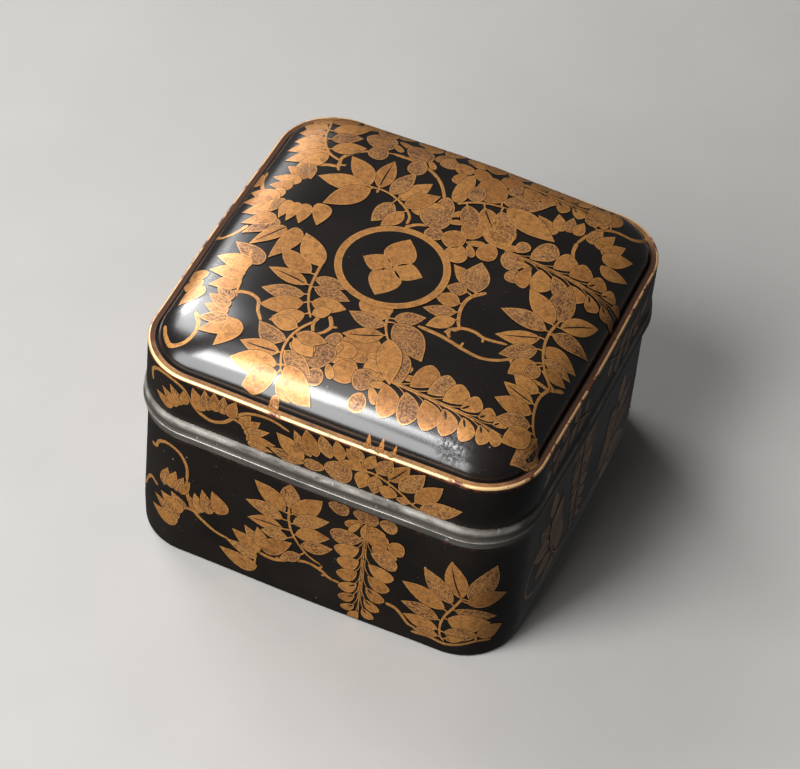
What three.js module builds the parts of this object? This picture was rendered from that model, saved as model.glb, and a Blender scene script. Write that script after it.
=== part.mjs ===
// A lacquered wood incense box, square with rounded corners, with a lift-off domed lid.
// Millimetres, +Z up. The origin is the middle of the underside.
// Plan sizes are given at the body's wall; every other outline is that one moved out or in.

import * as THREE from "three";

// Plan of the box
const bodyWidth = 100;
const bodyDepth = 100;
const cornerRadius = 15;
const sideBow = 0.4;

// Heights
const seamHeight = 44;
const lidWallHeight = 18.5;
const domeRise = 9.5;

// Walls
const bodyWall = 3.6;
const floorThickness = 3.5;
const floorFillet = 2.5;
const lidShoulder = 3.0;
const lidTop = 2.8;

// The lip inside the body's mouth that centres the lid
const lipThickness = 1.4;
const lipHeight = 3.0;
const lipRound = 0.4;
const lidFitGap = 0.3;

// Foot of the body
const footInset = 0.35;
const footRound = 1.0;
const taperHeight = 7.0;

// Metal bands around both mouths
const bodyBandHeight = 3.0;
const lidBandHeight = 4.2;
const bandThickness = 1.0;
const bandFoot = 0.8;
const glueLine = 0.05;
const seamFlare = 1.3;
const bodyBandFlare = 0.6;
const lidBandFlare = 0.9;
const bodyFlareLength = 3.5;
const lidFlareLength = 4.6;

// Outside of the lid
const lidWallOffset = 0.65;
const ledgeWidth = 2.4;
const edgeRound = 0.45;
const creaseDepth = 0.2;
const creaseWidth = 0.5;
const shoulderPower = 7.5;
const roundingPower = 3;
const crownRadiusShare = 0.93;

// Fineness of the outlines and curves
const cornerSteps = 8;
const sideSteps = 6;
const roundSteps = 3;
const domeLevels = [0.22, 0.42, 0.6, 0.74, 0.84, 0.91, 0.955, 0.98, 0.995];

const lacquer = new THREE.MeshStandardMaterial({ color: 0x2d2a26, roughness: 0.28, metalness: 0 });
const pewter = new THREE.MeshStandardMaterial({ color: 0x7d746a, roughness: 0.42, metalness: 0.9 });

// Levels worked out from the sizes above
const lidEdge = seamHeight + lidWallHeight;
const domeTop = lidEdge + domeRise;
const lipOffset = -(bodyWall - lipThickness);
const lidInnerOffset = lipOffset + lidFitGap;
const domeOffset = lidWallOffset - ledgeWidth;

// One side of the square, then its corner arc, turned four times: points run counterclockwise.
function outline(offset) {
  const halfWidth = bodyWidth / 2 + offset;
  const halfDepth = bodyDepth / 2 + offset;
  const radius = Math.max(cornerRadius + offset, lipRound);
  const points = [];
  for (let side = 0; side < 4; side += 1) {
    const turned = side % 2 === 1;
    const reach = turned ? halfDepth : halfWidth;
    const span = (turned ? halfWidth : halfDepth) - radius;
    const quarter = (side * Math.PI) / 2;
    const axis = new THREE.Vector2(Math.cos(quarter), Math.sin(quarter));
    const along = new THREE.Vector2(-axis.y, axis.x);
    for (let step = 0; step < sideSteps; step += 1) {
      const t = -1 + (2 * step) / sideSteps;
      const bow = (sideBow * (1 + Math.cos(Math.PI * t))) / 2;
      points.push(axis.clone().multiplyScalar(reach + bow).addScaledVector(along, span * t));
    }
    const centre = axis.clone().multiplyScalar(reach - radius).addScaledVector(along, span);
    for (let step = 0; step < cornerSteps; step += 1) {
      const angle = quarter + (step / cornerSteps) * (Math.PI / 2);
      points.push(new THREE.Vector2(Math.cos(angle), Math.sin(angle)).multiplyScalar(radius).add(centre));
    }
  }
  return points;
}

// A level ring on the outline moved out by offset
function ring(offset, z) {
  return outline(offset).map((p) => new THREE.Vector3(p.x, p.y, z));
}

// Rings along a quarter round, from one angle to another, about a point of the section
function roundRings(offset, z, radius, from, to) {
  const rings = [];
  for (let step = 0; step <= roundSteps; step += 1) {
    const angle = THREE.MathUtils.degToRad(from + ((to - from) * step) / roundSteps);
    rings.push(ring(offset + radius * Math.cos(angle), z + radius * Math.sin(angle)));
  }
  return rings;
}

// A ring of a dome at a share of its way out. Near the crown the rings are circles.
// Towards the foot they take the outline's square shape, and the shoulder turns down steeply.
function domeRing(share, offset, footZ, rise) {
  const foot = outline(offset);
  const crown = (Math.min(bodyWidth, bodyDepth) / 2 + offset) * crownRadiusShare;
  const squareness = share ** roundingPower;
  const z = footZ + rise * Math.sqrt(1 - share ** shoulderPower);
  return foot.map((p) => {
    const round = p.clone().setLength(crown);
    const mixed = round.lerp(p, squareness).multiplyScalar(share);
    return new THREE.Vector3(mixed.x, mixed.y, z);
  });
}

// Skin between neighbouring rings, closed by a fan at each end or, for a band, by the first ring
function ringSolid(rings, firstZ, lastZ) {
  const count = rings[0].length;
  const points = rings.flat();
  const faces = [];
  const isBand = firstZ === undefined;
  const spans = isBand ? rings.length : rings.length - 1;
  for (let level = 0; level < spans; level += 1) {
    const low = level * count;
    const high = ((level + 1) % rings.length) * count;
    for (let i = 0; i < count; i += 1) {
      const next = (i + 1) % count;
      faces.push(low + i, low + next, high + next);
      faces.push(low + i, high + next, high + i);
    }
  }
  if (!isBand) {
    const start = points.length;
    const top = (rings.length - 1) * count;
    points.push(new THREE.Vector3(0, 0, firstZ), new THREE.Vector3(0, 0, lastZ));
    for (let i = 0; i < count; i += 1) {
      const next = (i + 1) % count;
      faces.push(start, next, i);
      faces.push(start + 1, top + i, top + next);
    }
  }
  const geometry = new THREE.BufferGeometry().setFromPoints(points);
  geometry.setIndex(faces);
  geometry.computeVertexNormals();
  return geometry;
}

// The body: underside, outer wall, seat for its band, lip, inner wall and floor
function bodyGeometry() {
  const bandBottom = seamHeight - bodyBandHeight;
  const seatOffset = bodyBandFlare - bandThickness;
  const inner = -bodyWall;
  const floorRound = roundRings(inner - floorFillet, floorThickness + floorFillet, floorFillet, 0, -90);
  const rings = [
    ...roundRings(-footInset - footRound, footRound, footRound, -90, 0),
    ring(0, taperHeight),
    ring(0, bandBottom - bodyFlareLength),
    ring(bodyBandFlare * 0.35, bandBottom - bodyFlareLength / 2),
    ring(bodyBandFlare, bandBottom),
    ring(seatOffset, bandBottom),
    ring(seatOffset, seamHeight - bandFoot),
    ring(lipOffset, seamHeight - bandFoot),
    ring(lipOffset, seamHeight + lipHeight - lipRound),
    ring(lipOffset - lipRound, seamHeight + lipHeight),
    ring(inner + lipRound, seamHeight + lipHeight),
    ring(inner, seamHeight + lipHeight - lipRound),
    ...floorRound,
  ];
  return ringSolid(rings, 0, floorThickness);
}

// The body's band: a flared strip let into the wall, with a foot that covers the mouth up to the lip
function bodyBandGeometry() {
  const bottom = seamHeight - bodyBandHeight;
  const inner = bodyBandFlare - bandThickness + glueLine;
  const footEnd = lipOffset + glueLine;
  return ringSolid([
    ring(bodyBandFlare, bottom),
    ring((bodyBandFlare + seamFlare) / 2, seamHeight - bodyBandHeight / 2),
    ring(seamFlare, seamHeight),
    ring(footEnd, seamHeight),
    ring(footEnd, seamHeight - bandFoot),
    ring(inner, seamHeight - bandFoot),
    ring(inner, bottom),
  ]);
}

// The lid's band: the same strip the other way up, and it rests on the body's band
function lidBandGeometry() {
  const top = seamHeight + lidBandHeight;
  const inner = lidBandFlare - bandThickness + glueLine;
  return ringSolid([
    ring(seamFlare, seamHeight),
    ring((lidBandFlare + seamFlare) / 2, seamHeight + lidBandHeight / 2),
    ring(lidBandFlare, top),
    ring(inner, top),
    ring(inner, seamHeight + bandFoot),
    ring(lidInnerOffset, seamHeight + bandFoot),
    ring(lidInnerOffset, seamHeight),
  ]);
}

// The lid: hollow dome inside, mouth and seat for its band, outer wall, ledge and dome
function lidGeometry() {
  const bandTop = seamHeight + lidBandHeight;
  const seatOffset = lidBandFlare - bandThickness;
  const springing = lidEdge - lidShoulder;
  const innerRise = domeTop - lidTop - springing;
  const ceiling = domeLevels.map((share) => domeRing(share, lidInnerOffset, springing, innerRise));
  const roof = domeLevels.map((share) => domeRing(share, domeOffset, lidEdge - creaseDepth, domeRise + creaseDepth));
  const rings = [
    ...ceiling,
    ring(lidInnerOffset, springing),
    ring(lidInnerOffset, seamHeight + bandFoot),
    ring(seatOffset, seamHeight + bandFoot),
    ring(seatOffset, bandTop),
    ring(lidBandFlare, bandTop),
    ring(lidWallOffset, bandTop + lidFlareLength),
    ...roundRings(lidWallOffset - edgeRound, lidEdge - edgeRound, edgeRound, 0, 90),
    ring(domeOffset + creaseWidth, lidEdge),
    ring(domeOffset, lidEdge - creaseDepth),
    ...roof.reverse(),
  ];
  return ringSolid(rings, domeTop - lidTop, domeTop);
}

function piece(name, geometry, material) {
  const mesh = new THREE.Mesh(geometry, material);
  mesh.name = name;
  return mesh;
}

const incenseBox = new THREE.Group();
incenseBox.add(
  piece("body", bodyGeometry(), lacquer),
  piece("body_rim", bodyBandGeometry(), pewter),
  piece("lid_rim", lidBandGeometry(), pewter),
  piece("lid", lidGeometry(), lacquer),
);

export default incenseBox;
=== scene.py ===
"""A square lacquered incense box with a domed lid, pewter bands and gold wisteria ornament.

Sizes are in millimetres and become metres when a mesh is made. The front is the side at -Y.
"""

import math

import bpy
import numpy as np
from mathutils import Matrix, Vector


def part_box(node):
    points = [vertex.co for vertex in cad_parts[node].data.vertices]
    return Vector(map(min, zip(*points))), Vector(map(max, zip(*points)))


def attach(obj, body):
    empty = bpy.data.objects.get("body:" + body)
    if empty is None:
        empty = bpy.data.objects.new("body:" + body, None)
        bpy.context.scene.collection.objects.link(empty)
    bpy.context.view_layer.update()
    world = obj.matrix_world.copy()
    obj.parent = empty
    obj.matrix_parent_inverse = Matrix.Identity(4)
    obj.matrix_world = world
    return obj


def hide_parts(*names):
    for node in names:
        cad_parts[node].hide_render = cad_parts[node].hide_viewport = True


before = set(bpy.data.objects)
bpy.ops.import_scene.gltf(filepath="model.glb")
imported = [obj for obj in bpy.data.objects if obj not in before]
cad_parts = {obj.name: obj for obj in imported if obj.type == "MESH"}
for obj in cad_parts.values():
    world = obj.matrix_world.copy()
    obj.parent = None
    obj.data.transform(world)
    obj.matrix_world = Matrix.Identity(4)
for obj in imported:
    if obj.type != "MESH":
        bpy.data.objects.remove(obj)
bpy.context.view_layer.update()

# One millimetre in metres
MM = 0.001


def foot_of(node):
    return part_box(node)[0].z / MM


def top_of(node):
    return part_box(node)[1].z / MM


# Heights read from the frame, in millimetres
SEAM = top_of("body_rim")
BODY_BAND_FOOT = foot_of("body_rim")
LID_BAND_TOP = top_of("lid_rim")
CROWN = top_of("lid")

# The outline of the body's walls: a square with round corners and sides that bow out a little
BOW = 0.4
CORNER = 15.0
BODY_BAND_FLARE = 0.6
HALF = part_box("body")[1].x / MM - BODY_BAND_FLARE - BOW
SIDE = 2 * (HALF - CORNER)
ARC = CORNER * math.pi / 2
PERIOD = SIDE + ARC

# How far other outlines lie outside that one, or inside it where negative, and the ledge's width
LID_BAND_FLARE = 0.9
SEAM_FLARE = 1.3
LID_WALL = 0.65
LID_FOOT = 0.62
LID_INNER = -1.9
LIP_OFFSET = -2.2
LEDGE = 2.4
DOME_OFFSET = LID_WALL - LEDGE

# The body's section
FOOT_INSET = 0.35
FOOT_ROUND = 1.0
TAPER_TOP = 7.0
BODY_FLARE_LENGTH = 3.5
BODY_WALL = 3.6
FLOOR = 3.5
FLOOR_FILLET = 2.5
LIP_HEIGHT = 3.0
LIP_ROUND = 0.4

# The bands' sections
BAND_THICKNESS = 1.0
BAND_FOOT = 0.8
GLUE_LINE = 0.05
BAND_EDGE_ROUND = 0.22

# The lid band's outside: out from the seam's flare and up from the seam, for a band of this height
LID_BAND_DRAWN = 4.2
LID_BAND_SECTION = [
    (-0.1, 0), (-0.02, 0.12), (0, 0.35), (-0.06, 0.65), (-0.12, 1.0), (-0.15, 1.5), (-0.15, 2.1),
    (-0.17, 2.6), (-0.25, 3.0), (-0.36, 3.3), (-0.5, 3.6), (-0.67, 3.9), (-0.8, 4.1), (-0.88, 4.2),
]

# The lid's section
DOME_RISE = 9.5
LID_EDGE = CROWN - DOME_RISE
LID_FLARE_LENGTH = 4.6
LID_FOOT_EASE = 0.2
LID_SHOULDER = 3.0
LID_TOP = 2.8
CREASE_DEPTH = 0.2
CREASE_WIDTH = 0.5
EDGE_ROUND = 0.45
SHOULDER_POWER = 7.5
ROUNDING_POWER = 3
CROWN_SHARE = 0.93


# The plan outline


def plan(along):
    """Places and outward normals on the body wall's outline.

    along is the distance from the middle of the front side, anticlockwise seen from above.
    """
    shifted = np.asarray(along, float) + SIDE / 2
    side = np.floor(shifted / PERIOD)
    rest = shifted - side * PERIOD
    straight = rest < SIDE
    bow = BOW * (1 + np.cos(np.pi * (2 * rest / SIDE - 1))) / 2
    facing = (side - 1) * np.pi / 2
    turn = np.where(straight, 0.0, (rest - SIDE) / CORNER)
    out = np.stack([np.cos(facing), np.sin(facing)], -1)
    ahead = np.stack([-out[..., 1], out[..., 0]], -1)
    normal = np.stack([np.cos(facing + turn), np.sin(facing + turn)], -1)
    on_side = (HALF + bow)[..., None] * out + (rest - SIDE / 2)[..., None] * ahead
    on_corner = (HALF - CORNER) * (out + ahead) + CORNER * normal
    return np.where(straight[..., None], on_side, on_corner), normal


def wall_offset(height):
    """How far the outside stands out from the body wall's outline at a height."""
    levels = [0, FOOT_ROUND, TAPER_TOP, BODY_BAND_FOOT - BODY_FLARE_LENGTH]
    offsets = [-FOOT_INSET - FOOT_ROUND, -FOOT_INSET, 0, 0]
    levels += [BODY_BAND_FOOT - BODY_FLARE_LENGTH / 2, BODY_BAND_FOOT, SEAM, LID_BAND_TOP + LID_FOOT_EASE]
    offsets += [BODY_BAND_FLARE * 0.35, BODY_BAND_FLARE, SEAM_FLARE, LID_FOOT]
    levels += [LID_BAND_TOP + LID_FLARE_LENGTH, LID_EDGE]
    offsets += [LID_WALL, LID_WALL]
    return np.interp(height, levels, offsets)


def reach(x, y):
    """Distance from the centre to the dome's foot in the direction of a point."""
    angle = np.arctan2(y, x)
    ahead, across = np.abs(np.cos(angle)), np.abs(np.sin(angle))
    flat = (HALF + DOME_OFFSET) / np.maximum(ahead, across)
    inner = HALF - CORNER
    radius = CORNER + DOME_OFFSET
    lesser = flat * np.minimum(ahead, across)
    half_b = inner * (ahead + across)
    arc = half_b + np.sqrt(np.maximum(half_b**2 - 2 * inner**2 + radius**2, 0))
    bow = BOW * (1 + np.cos(np.pi * np.minimum(lesser / inner, 1))) / 2
    return np.where(lesser > inner, arc, flat + bow)


def dome_shape(share, reached, crown):
    """Distance from the centre, at a share of the way out, on a dome that turns from round to square."""
    squareness = share**ROUNDING_POWER
    return share * ((1 - squareness) * crown + squareness * reached)


def roof_height(x, y):
    """Height of the lid's outside over a point of the plan. Halving finds the share of the way out."""
    halvings = 36
    reached = reach(x, y)
    distance = np.hypot(x, y)
    crown = (HALF + DOME_OFFSET) * CROWN_SHARE
    low, high = np.zeros_like(distance), np.ones_like(distance)
    for _ in range(halvings):
        middle = (low + high) / 2
        inside = dome_shape(middle, reached, crown) < distance
        low = np.where(inside, middle, low)
        high = np.where(inside, high, middle)
    dome = LID_EDGE - CREASE_DEPTH + (DOME_RISE + CREASE_DEPTH) * np.sqrt(1 - low**SHOULDER_POWER)
    beyond = np.minimum((distance - reached) / CREASE_WIDTH, 1)
    ledge = LID_EDGE - CREASE_DEPTH * (1 - beyond)
    return np.where(distance > reached, ledge, dome)


def on_roof(pattern, lift):
    """Places on the lid's top for pattern points (x, y), lifted off the surface along its normal."""
    x, y = pattern[:, 0], pattern[:, 1]
    step = 0.05
    slope_x = (roof_height(x + step, y) - roof_height(x - step, y)) / (2 * step)
    slope_y = (roof_height(x, y + step) - roof_height(x, y - step)) / (2 * step)
    normal = np.stack([-slope_x, -slope_y, np.ones_like(x)], -1)
    normal /= np.linalg.norm(normal, axis=1)[:, None]
    return np.stack([x, y, roof_height(x, y)], -1) + normal * lift[:, None]


def on_wall(pattern, lift):
    """Places on the outside walls for pattern points (distance along the outline, height).

    The ground, the bands and the lid's edge cut the pattern off.
    """
    clear_of_ground = 0.1
    height = pattern[:, 1]
    on_body = np.clip(height, clear_of_ground, BODY_BAND_FOOT)
    on_lid = np.clip(height, LID_BAND_TOP + LID_FOOT_EASE, LID_EDGE - EDGE_ROUND)
    height = np.where(height < SEAM, on_body, on_lid)
    place, normal = plan(pattern[:, 0])
    place = place + normal * (wall_offset(height) + lift)[:, None]
    return np.column_stack([place, height])


# Shader maths


class Wire:
    """An output socket of a finish's nodes. Arithmetic on it adds Math nodes."""

    def __init__(self, finish, socket):
        self.finish = finish
        self.socket = socket

    def maths(self, operation, first, second=0.0, clamp=False):
        settings = {"operation": operation, "use_clamp": clamp}
        return self.finish.node("ShaderNodeMath", settings, {0: first, 1: second})

    def __add__(self, other):
        return self.maths("ADD", self, other)

    __radd__ = __add__

    def __sub__(self, other):
        return self.maths("SUBTRACT", self, other)

    def __rsub__(self, other):
        return self.maths("SUBTRACT", other, self)

    def __mul__(self, other):
        return self.maths("MULTIPLY", self, other)

    __rmul__ = __mul__

    def __abs__(self):
        return self.maths("ABSOLUTE", self)

    def clamped(self):
        return self.maths("ADD", self, 0.0, clamp=True)

    def between(self, low, high):
        """0 at low, 1 at high, and a straight line from one to the other."""
        return self.maths("MULTIPLY", self - low, 1 / (high - low), clamp=True)

    def above(self, level, rise):
        """Of a height: 0 up to a level and 1 from a rise above it, both in millimetres."""
        return (self - level * MM).between(0.0, rise * MM)

    def around(self, level, inner, outer):
        """Of a height: 1 at a level, falling to 0 between two distances from it, in millimetres."""
        return 1 - abs(self - level * MM).between(inner * MM, outer * MM)


class Finish:
    """One material: its Principled shader and the nodes that drive it."""

    def __init__(self, name, **uniform):
        self.material = bpy.data.materials.new(name)
        self.material.use_nodes = True
        self.tree = self.material.node_tree
        self.shader = self.tree.nodes["Principled BSDF"]
        for socket, value in uniform.items():
            self.shader.inputs[socket.replace("_", " ")].default_value = value
        self.place = self.node("ShaderNodeTexCoord", {}, {}, "Object")

    def node(self, kind, settings, sockets, output=0):
        made = self.tree.nodes.new(kind)
        for key, value in settings.items():
            setattr(made, key, value)
        for key, value in sockets.items():
            if isinstance(value, Wire):
                self.tree.links.new(value.socket, made.inputs[key])
            else:
                made.inputs[key].default_value = value
        return Wire(self, made.outputs[output])

    def feed(self, socket, wire):
        self.tree.links.new(wire.socket, self.shader.inputs[socket])

    def noise(self, x, y=None, z=None, detail=3.0, roughness=0.55):
        """Cloudy noise with a number of cells for each metre along each axis, or alike along all."""
        cells = (x, x if y is None else y, x if z is None else z)
        where = self.node("ShaderNodeVectorMath", {"operation": "MULTIPLY"}, {0: self.place, 1: cells})
        sockets = {"Vector": where, "Scale": 1.0, "Detail": detail, "Roughness": roughness}
        return self.node("ShaderNodeTexNoise", {}, sockets)

    def specks(self, scale, outer, inner):
        """Specks around scattered points: 1 within the inner and 0 beyond the outer share of a cell.

        scale is the number of cells for each metre.
        """
        sockets = {"Vector": self.place, "Scale": scale}
        away = self.node("ShaderNodeTexVoronoi", {"feature": "F1"}, sockets)
        return away.between(outer, inner)

    def mix(self, share, low, high):
        """A colour between two colours."""
        return self.node("ShaderNodeMix", {"data_type": "RGBA"}, {0: share, 6: low, 7: high}, 2)

    def attribute(self, name):
        return self.node("ShaderNodeAttribute", {"attribute_name": name}, {}, "Fac")

    def axis(self, which):
        """One of the object coordinates in metres."""
        return self.node("ShaderNodeSeparateXYZ", {}, {0: self.place}, which)

    def near(self, point, inner, outer):
        """1 at a point in metres, falling to 0 between two distances from it."""
        sockets = {0: self.place, 1: point}
        away = self.node("ShaderNodeVectorMath", {"operation": "DISTANCE"}, sockets, "Value")
        return 1 - away.between(inner, outer)

    def bump(self, height, distance):
        """Relief of a height given in metres for a height value of 1."""
        self.feed("Normal", self.node("ShaderNodeBump", {}, {"Height": height, "Distance": distance}))


def colour(red, green, blue):
    """A colour given as the eye sees it, 0 to 255, as the shader's linear values."""
    linear = []
    for value in (red, green, blue):
        share = value / 255
        linear.append(share / 12.92 if share <= 0.04045 else ((share + 0.055) / 1.055) ** 2.4)
    return (*linear, 1.0)


# Finishes

# Places of single marks, in metres
DULL_PATCH = (0.031, -0.0455, 0.0678)
BAND_NICK = (0.034, -0.0514, 0.0424)

# Heights of marks that run around the box, in millimetres
WALL_DOME_BORDER = LID_EDGE + 0.2
WORN_UNDER_EDGE = LID_EDGE - 0.85
# The bands' shoulder and seam line carry painted highlights, and the trough carries painted shade
BAND_SHOULDER = LID_BAND_TOP - 1.2
BAND_TROUGH = SEAM + 1.4
SEAM_LINE = SEAM + 0.1

RED_BROWN_UNDERCOAT = colour(98, 50, 34)
DUST = colour(150, 142, 132)
# Dark grey used for painted shade along the lid band's trough, and for darker clouds at the body band's
# foot
DARK_GREY_AND_SHADE = colour(64, 60, 56)
# Bare metal at nicks, also used as the painted highlight colour on the bands
BARE_METAL_AND_HIGHLIGHT = colour(214, 210, 202)
GRIME = colour(58, 40, 32)


def lacquer_finish():
    """Polished brown-black lacquer with dust, a dull rubbed patch, and red-brown along worn edges."""
    f = Finish("brown_black_lacquer", IOR=1.5, Specular_IOR_Level=0.35, Coat_IOR=1.7, Coat_Roughness=0.23)
    clouds = f.noise(60, detail=4)
    grain = f.noise(900, detail=2)
    flecks = f.noise(520, 520, 900, detail=4, roughness=0.7)
    spots = f.noise(1100, detail=3, roughness=0.6)
    height = f.axis(2)
    on_dome = height.above(WALL_DOME_BORDER, 0.8)
    dark = f.mix(on_dome, colour(19, 16, 14), colour(15, 11, 9))
    light = f.mix(on_dome, colour(29, 24, 20), colour(23, 18, 15))
    base = f.mix(clouds.between(0.35, 0.7), dark, light)
    under_edge = height.around(WORN_UNDER_EDGE, 0.2, 0.6)
    by_lid_band = (1 - height.above(LID_BAND_TOP, 0.9)) * height.above(SEAM + 2, 0.5)
    by_body_band = height.above(BODY_BAND_FOOT - 1.6, 1.6) * (1 - height.above(BODY_BAND_FOOT, 0.1))
    worn = under_edge * flecks.between(0.4, 0.55)
    worn = worn + (by_lid_band + by_body_band) * flecks.between(0.52, 0.66)
    base = f.mix((worn * 0.8).clamped(), base, RED_BROWN_UNDERCOAT)
    dust = f.specks(210, 0.06, 0.03) * f.noise(70).between(0.5, 0.6)
    dust = dust + f.specks(380, 0.055, 0.035) * clouds.between(0.45, 0.55) * 0.5
    f.feed("Base Color", f.mix(dust * 0.6, base, DUST))
    scratches = f.noise(2600, 90, 300, detail=1).between(0.68, 0.76)
    scratches = scratches + f.noise(110, 2900, 300, detail=1).between(0.69, 0.77)
    dull = f.near(DULL_PATCH, 0.0026, 0.0056) * spots.between(0.5, 0.54)
    rubbed = f.noise(35).between(0.5, 0.75)
    roughness = 0.26 - on_dome * 0.08 + clouds * 0.08 + rubbed * 0.06
    roughness = roughness + scratches * 0.05 + dust * 0.3 + dull * 0.06
    f.feed("Roughness", roughness.clamped())
    f.feed("Coat Weight", (on_dome * (1 - dull) * (0.8 - rubbed * 0.2)).clamped())
    f.bump(grain * 0.35 + scratches * -0.3 + clouds * 1.5 + dull * flecks * 3, 0.00002)
    return f.material


def gold_finish(name, pale, deep, worn, rough):
    """Gold powder in lacquer: fine grains, a tone for each leaf, and thin places that show brown."""
    f = Finish(name, Metallic=0.5, IOR=1.5, Coat_Weight=0.5, Coat_Roughness=0.26)
    tone = f.attribute("tone")
    grain = f.noise(1300, detail=4, roughness=0.65)
    powder = f.noise(4200, detail=2)
    thin = f.noise(560, detail=5, roughness=0.7)
    share = (tone * 0.6 + grain * 1.8 + powder * 1.3 - 1.35).clamped()
    base = f.mix(share, deep, pale)
    base = f.mix(thin.between(0.5, 0.68) * (powder * 2 - 0.35).clamped(), base, worn)
    f.feed("Base Color", base)
    f.feed("Roughness", (rough + powder * 0.16 - tone * 0.05).clamped())
    f.bump(powder * 0.7 + grain * 0.6, 0.00003)
    return f.material


def dusted_finish():
    """Sparse gold powder: grains of gold on dark lacquer, thicker in clouds."""
    f = Finish("sparse_gold_powder", Metallic=0.25, IOR=1.5, Coat_Weight=0.3, Coat_Roughness=0.24)
    tone = f.attribute("tone")
    grains = f.noise(1900, detail=3, roughness=0.7)
    clouds = f.noise(420)
    share = (grains.between(0.44, 0.6) * 0.7 + clouds * 0.5 + tone * 0.25 - 0.35).clamped()
    ground = f.mix(clouds.between(0.35, 0.65), colour(76, 44, 28), colour(114, 70, 42))
    f.feed("Base Color", f.mix(share, ground, colour(190, 138, 78)))
    f.feed("Roughness", (0.5 - share * 0.1).clamped())
    f.bump(grains, 0.00003)
    return f.material


def pewter_finish():
    """Soft grey metal: long fine scratches, clouded tones that are darker along the body band's lower
    edge, painted highlights along the seam and the lid band's shoulder, painted shade along the lid band's
    trough, and small dents.
    """
    f = Finish("pewter", Metallic=0.45, IOR=1.5)
    height = f.axis(2)
    streaks = f.noise(60, 60, 5200, roughness=0.6)
    clouds = f.noise(150, 150, 320, detail=4, roughness=0.6)
    fine = f.noise(900, 900, 2600, detail=2)
    dents = f.noise(260, 260, 420, detail=1).between(0.62, 0.8)
    nicks = f.noise(1100, 1100, 260, detail=1).between(0.72, 0.76)
    nick = f.near(BAND_NICK, 0.0003, 0.0008) * fine.between(0.3, 0.4)
    seam = height.around(SEAM_LINE, 0.12, 0.35)
    shoulder = height.around(BAND_SHOULDER, 0.3, 0.9)
    trough = height.around(BAND_TROUGH, 0.3, 1.0)
    lower_edge = 1 - height.above(BODY_BAND_FOOT + 0.1, 0.6)
    base = f.mix((streaks * 0.9 + clouds * 0.9 - 0.5).clamped(), colour(74, 71, 66), colour(136, 131, 123))
    # Painted shade along the lid band's trough, and darker in clouds along the body band's lower edge
    base = f.mix((trough * 0.6 + lower_edge * clouds).clamped(), base, DARK_GREY_AND_SHADE)
    # Painted highlights along the seam line and the lid band's shoulder, and bare metal at nicks
    bright = seam * clouds.between(0.3, 0.6) * 0.6 + shoulder * clouds.between(0.35, 0.7) * 0.6
    base = f.mix((bright + nicks * 0.3 + nick).clamped(), base, BARE_METAL_AND_HIGHLIGHT)
    grime = height.above(LID_BAND_TOP - 0.35, 0.3) * fine.between(0.4, 0.55)
    f.feed("Base Color", f.mix((grime * 0.8).clamped(), base, GRIME))
    f.feed("Roughness", (0.34 + clouds * 0.16 + streaks * 0.12 - seam * 0.1).clamped())
    f.bump(streaks * 0.8 + fine * 0.3 + clouds * 2.0 - dents * 4.0, 0.00003)
    return f.material


def gilt_edge_finish():
    """The lid's edge: a rubbed bright bead outside, and thinner brownish gilding towards the dome.

    It is deeper in tone and more worn on the box's left and right sides.
    """
    f = Finish("gilt_edge", Metallic=0.35, IOR=1.5, Coat_Weight=0.35, Coat_Roughness=0.2)
    across = f.attribute("tone")
    clouds = f.noise(190, detail=5, roughness=0.65)
    grain = f.noise(1800, detail=2)
    sides = abs(f.axis(0)).between(0.044, 0.05)
    gilding = (clouds * 2 + grain - 1 - sides * 0.7).clamped()
    inner = f.mix(gilding, colour(122, 80, 54), colour(196, 144, 90))
    inner = f.mix(sides * 0.75, inner, colour(52, 35, 29))
    bright = f.mix(sides, colour(244, 204, 144), colour(212, 166, 116))
    worn = (clouds + sides * 0.08).between(0.58, 0.66)
    outer = f.mix(worn, bright, colour(104, 52, 34))
    f.feed("Base Color", f.mix(across.between(0.4, 0.65), inner, outer))
    f.feed("Roughness", (0.3 + clouds * 0.2).clamped())
    f.bump(clouds * 1.2 + grain * 0.4, 0.00004)
    return f.material


def ground_finish():
    f = Finish("pale_ground", Roughness=0.7)
    f.feed("Base Color", f.mix(f.noise(30, detail=4), colour(172, 170, 167), colour(182, 180, 177)))
    return f.material


# Meshes


def add_piece(name, places, faces, material, slot, smooth_angle=40):
    mesh = bpy.data.meshes.new(name)
    mesh.from_pydata((np.asarray(places) * MM).tolist(), [], faces)
    mesh.validate()
    mesh.materials.append(material)
    mesh.shade_smooth()
    mesh.set_sharp_from_angle(angle=math.radians(smooth_angle))
    piece = bpy.data.objects.new(name, mesh)
    bpy.context.scene.collection.objects.link(piece)
    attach(piece, "root")
    return piece


def add_tones(piece, tones):
    """Keeps a number for each point, which the finishes read as the tone of the gold."""
    piece.data.attributes.new("tone", "FLOAT", "POINT").data.foreach_set("value", tones)


SIDE_STEPS = 20
CORNER_STEPS = 26


def ring_marks():
    """Distances along the outline at which every ring has its points."""
    on_side = np.arange(SIDE_STEPS) / SIDE_STEPS * SIDE - SIDE / 2
    on_corner = SIDE / 2 + np.arange(CORNER_STEPS) / CORNER_STEPS * ARC
    quarter = np.concatenate([on_side, on_corner])
    return np.concatenate([quarter + side * PERIOD for side in range(4)])


ALONG = ring_marks()


def ring(offset, height):
    place, normal = plan(ALONG)
    return np.column_stack([place + normal * offset, np.full(len(ALONG), height)])


def round_rings(offset, height, radius, start, end, steps=5):
    """Rings along an arc of the section, between two angles in degrees."""
    rings = []
    for angle in np.radians(np.linspace(start, end, steps + 1)):
        rings.append(ring(offset + radius * math.cos(angle), height + radius * math.sin(angle)))
    return rings


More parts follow.
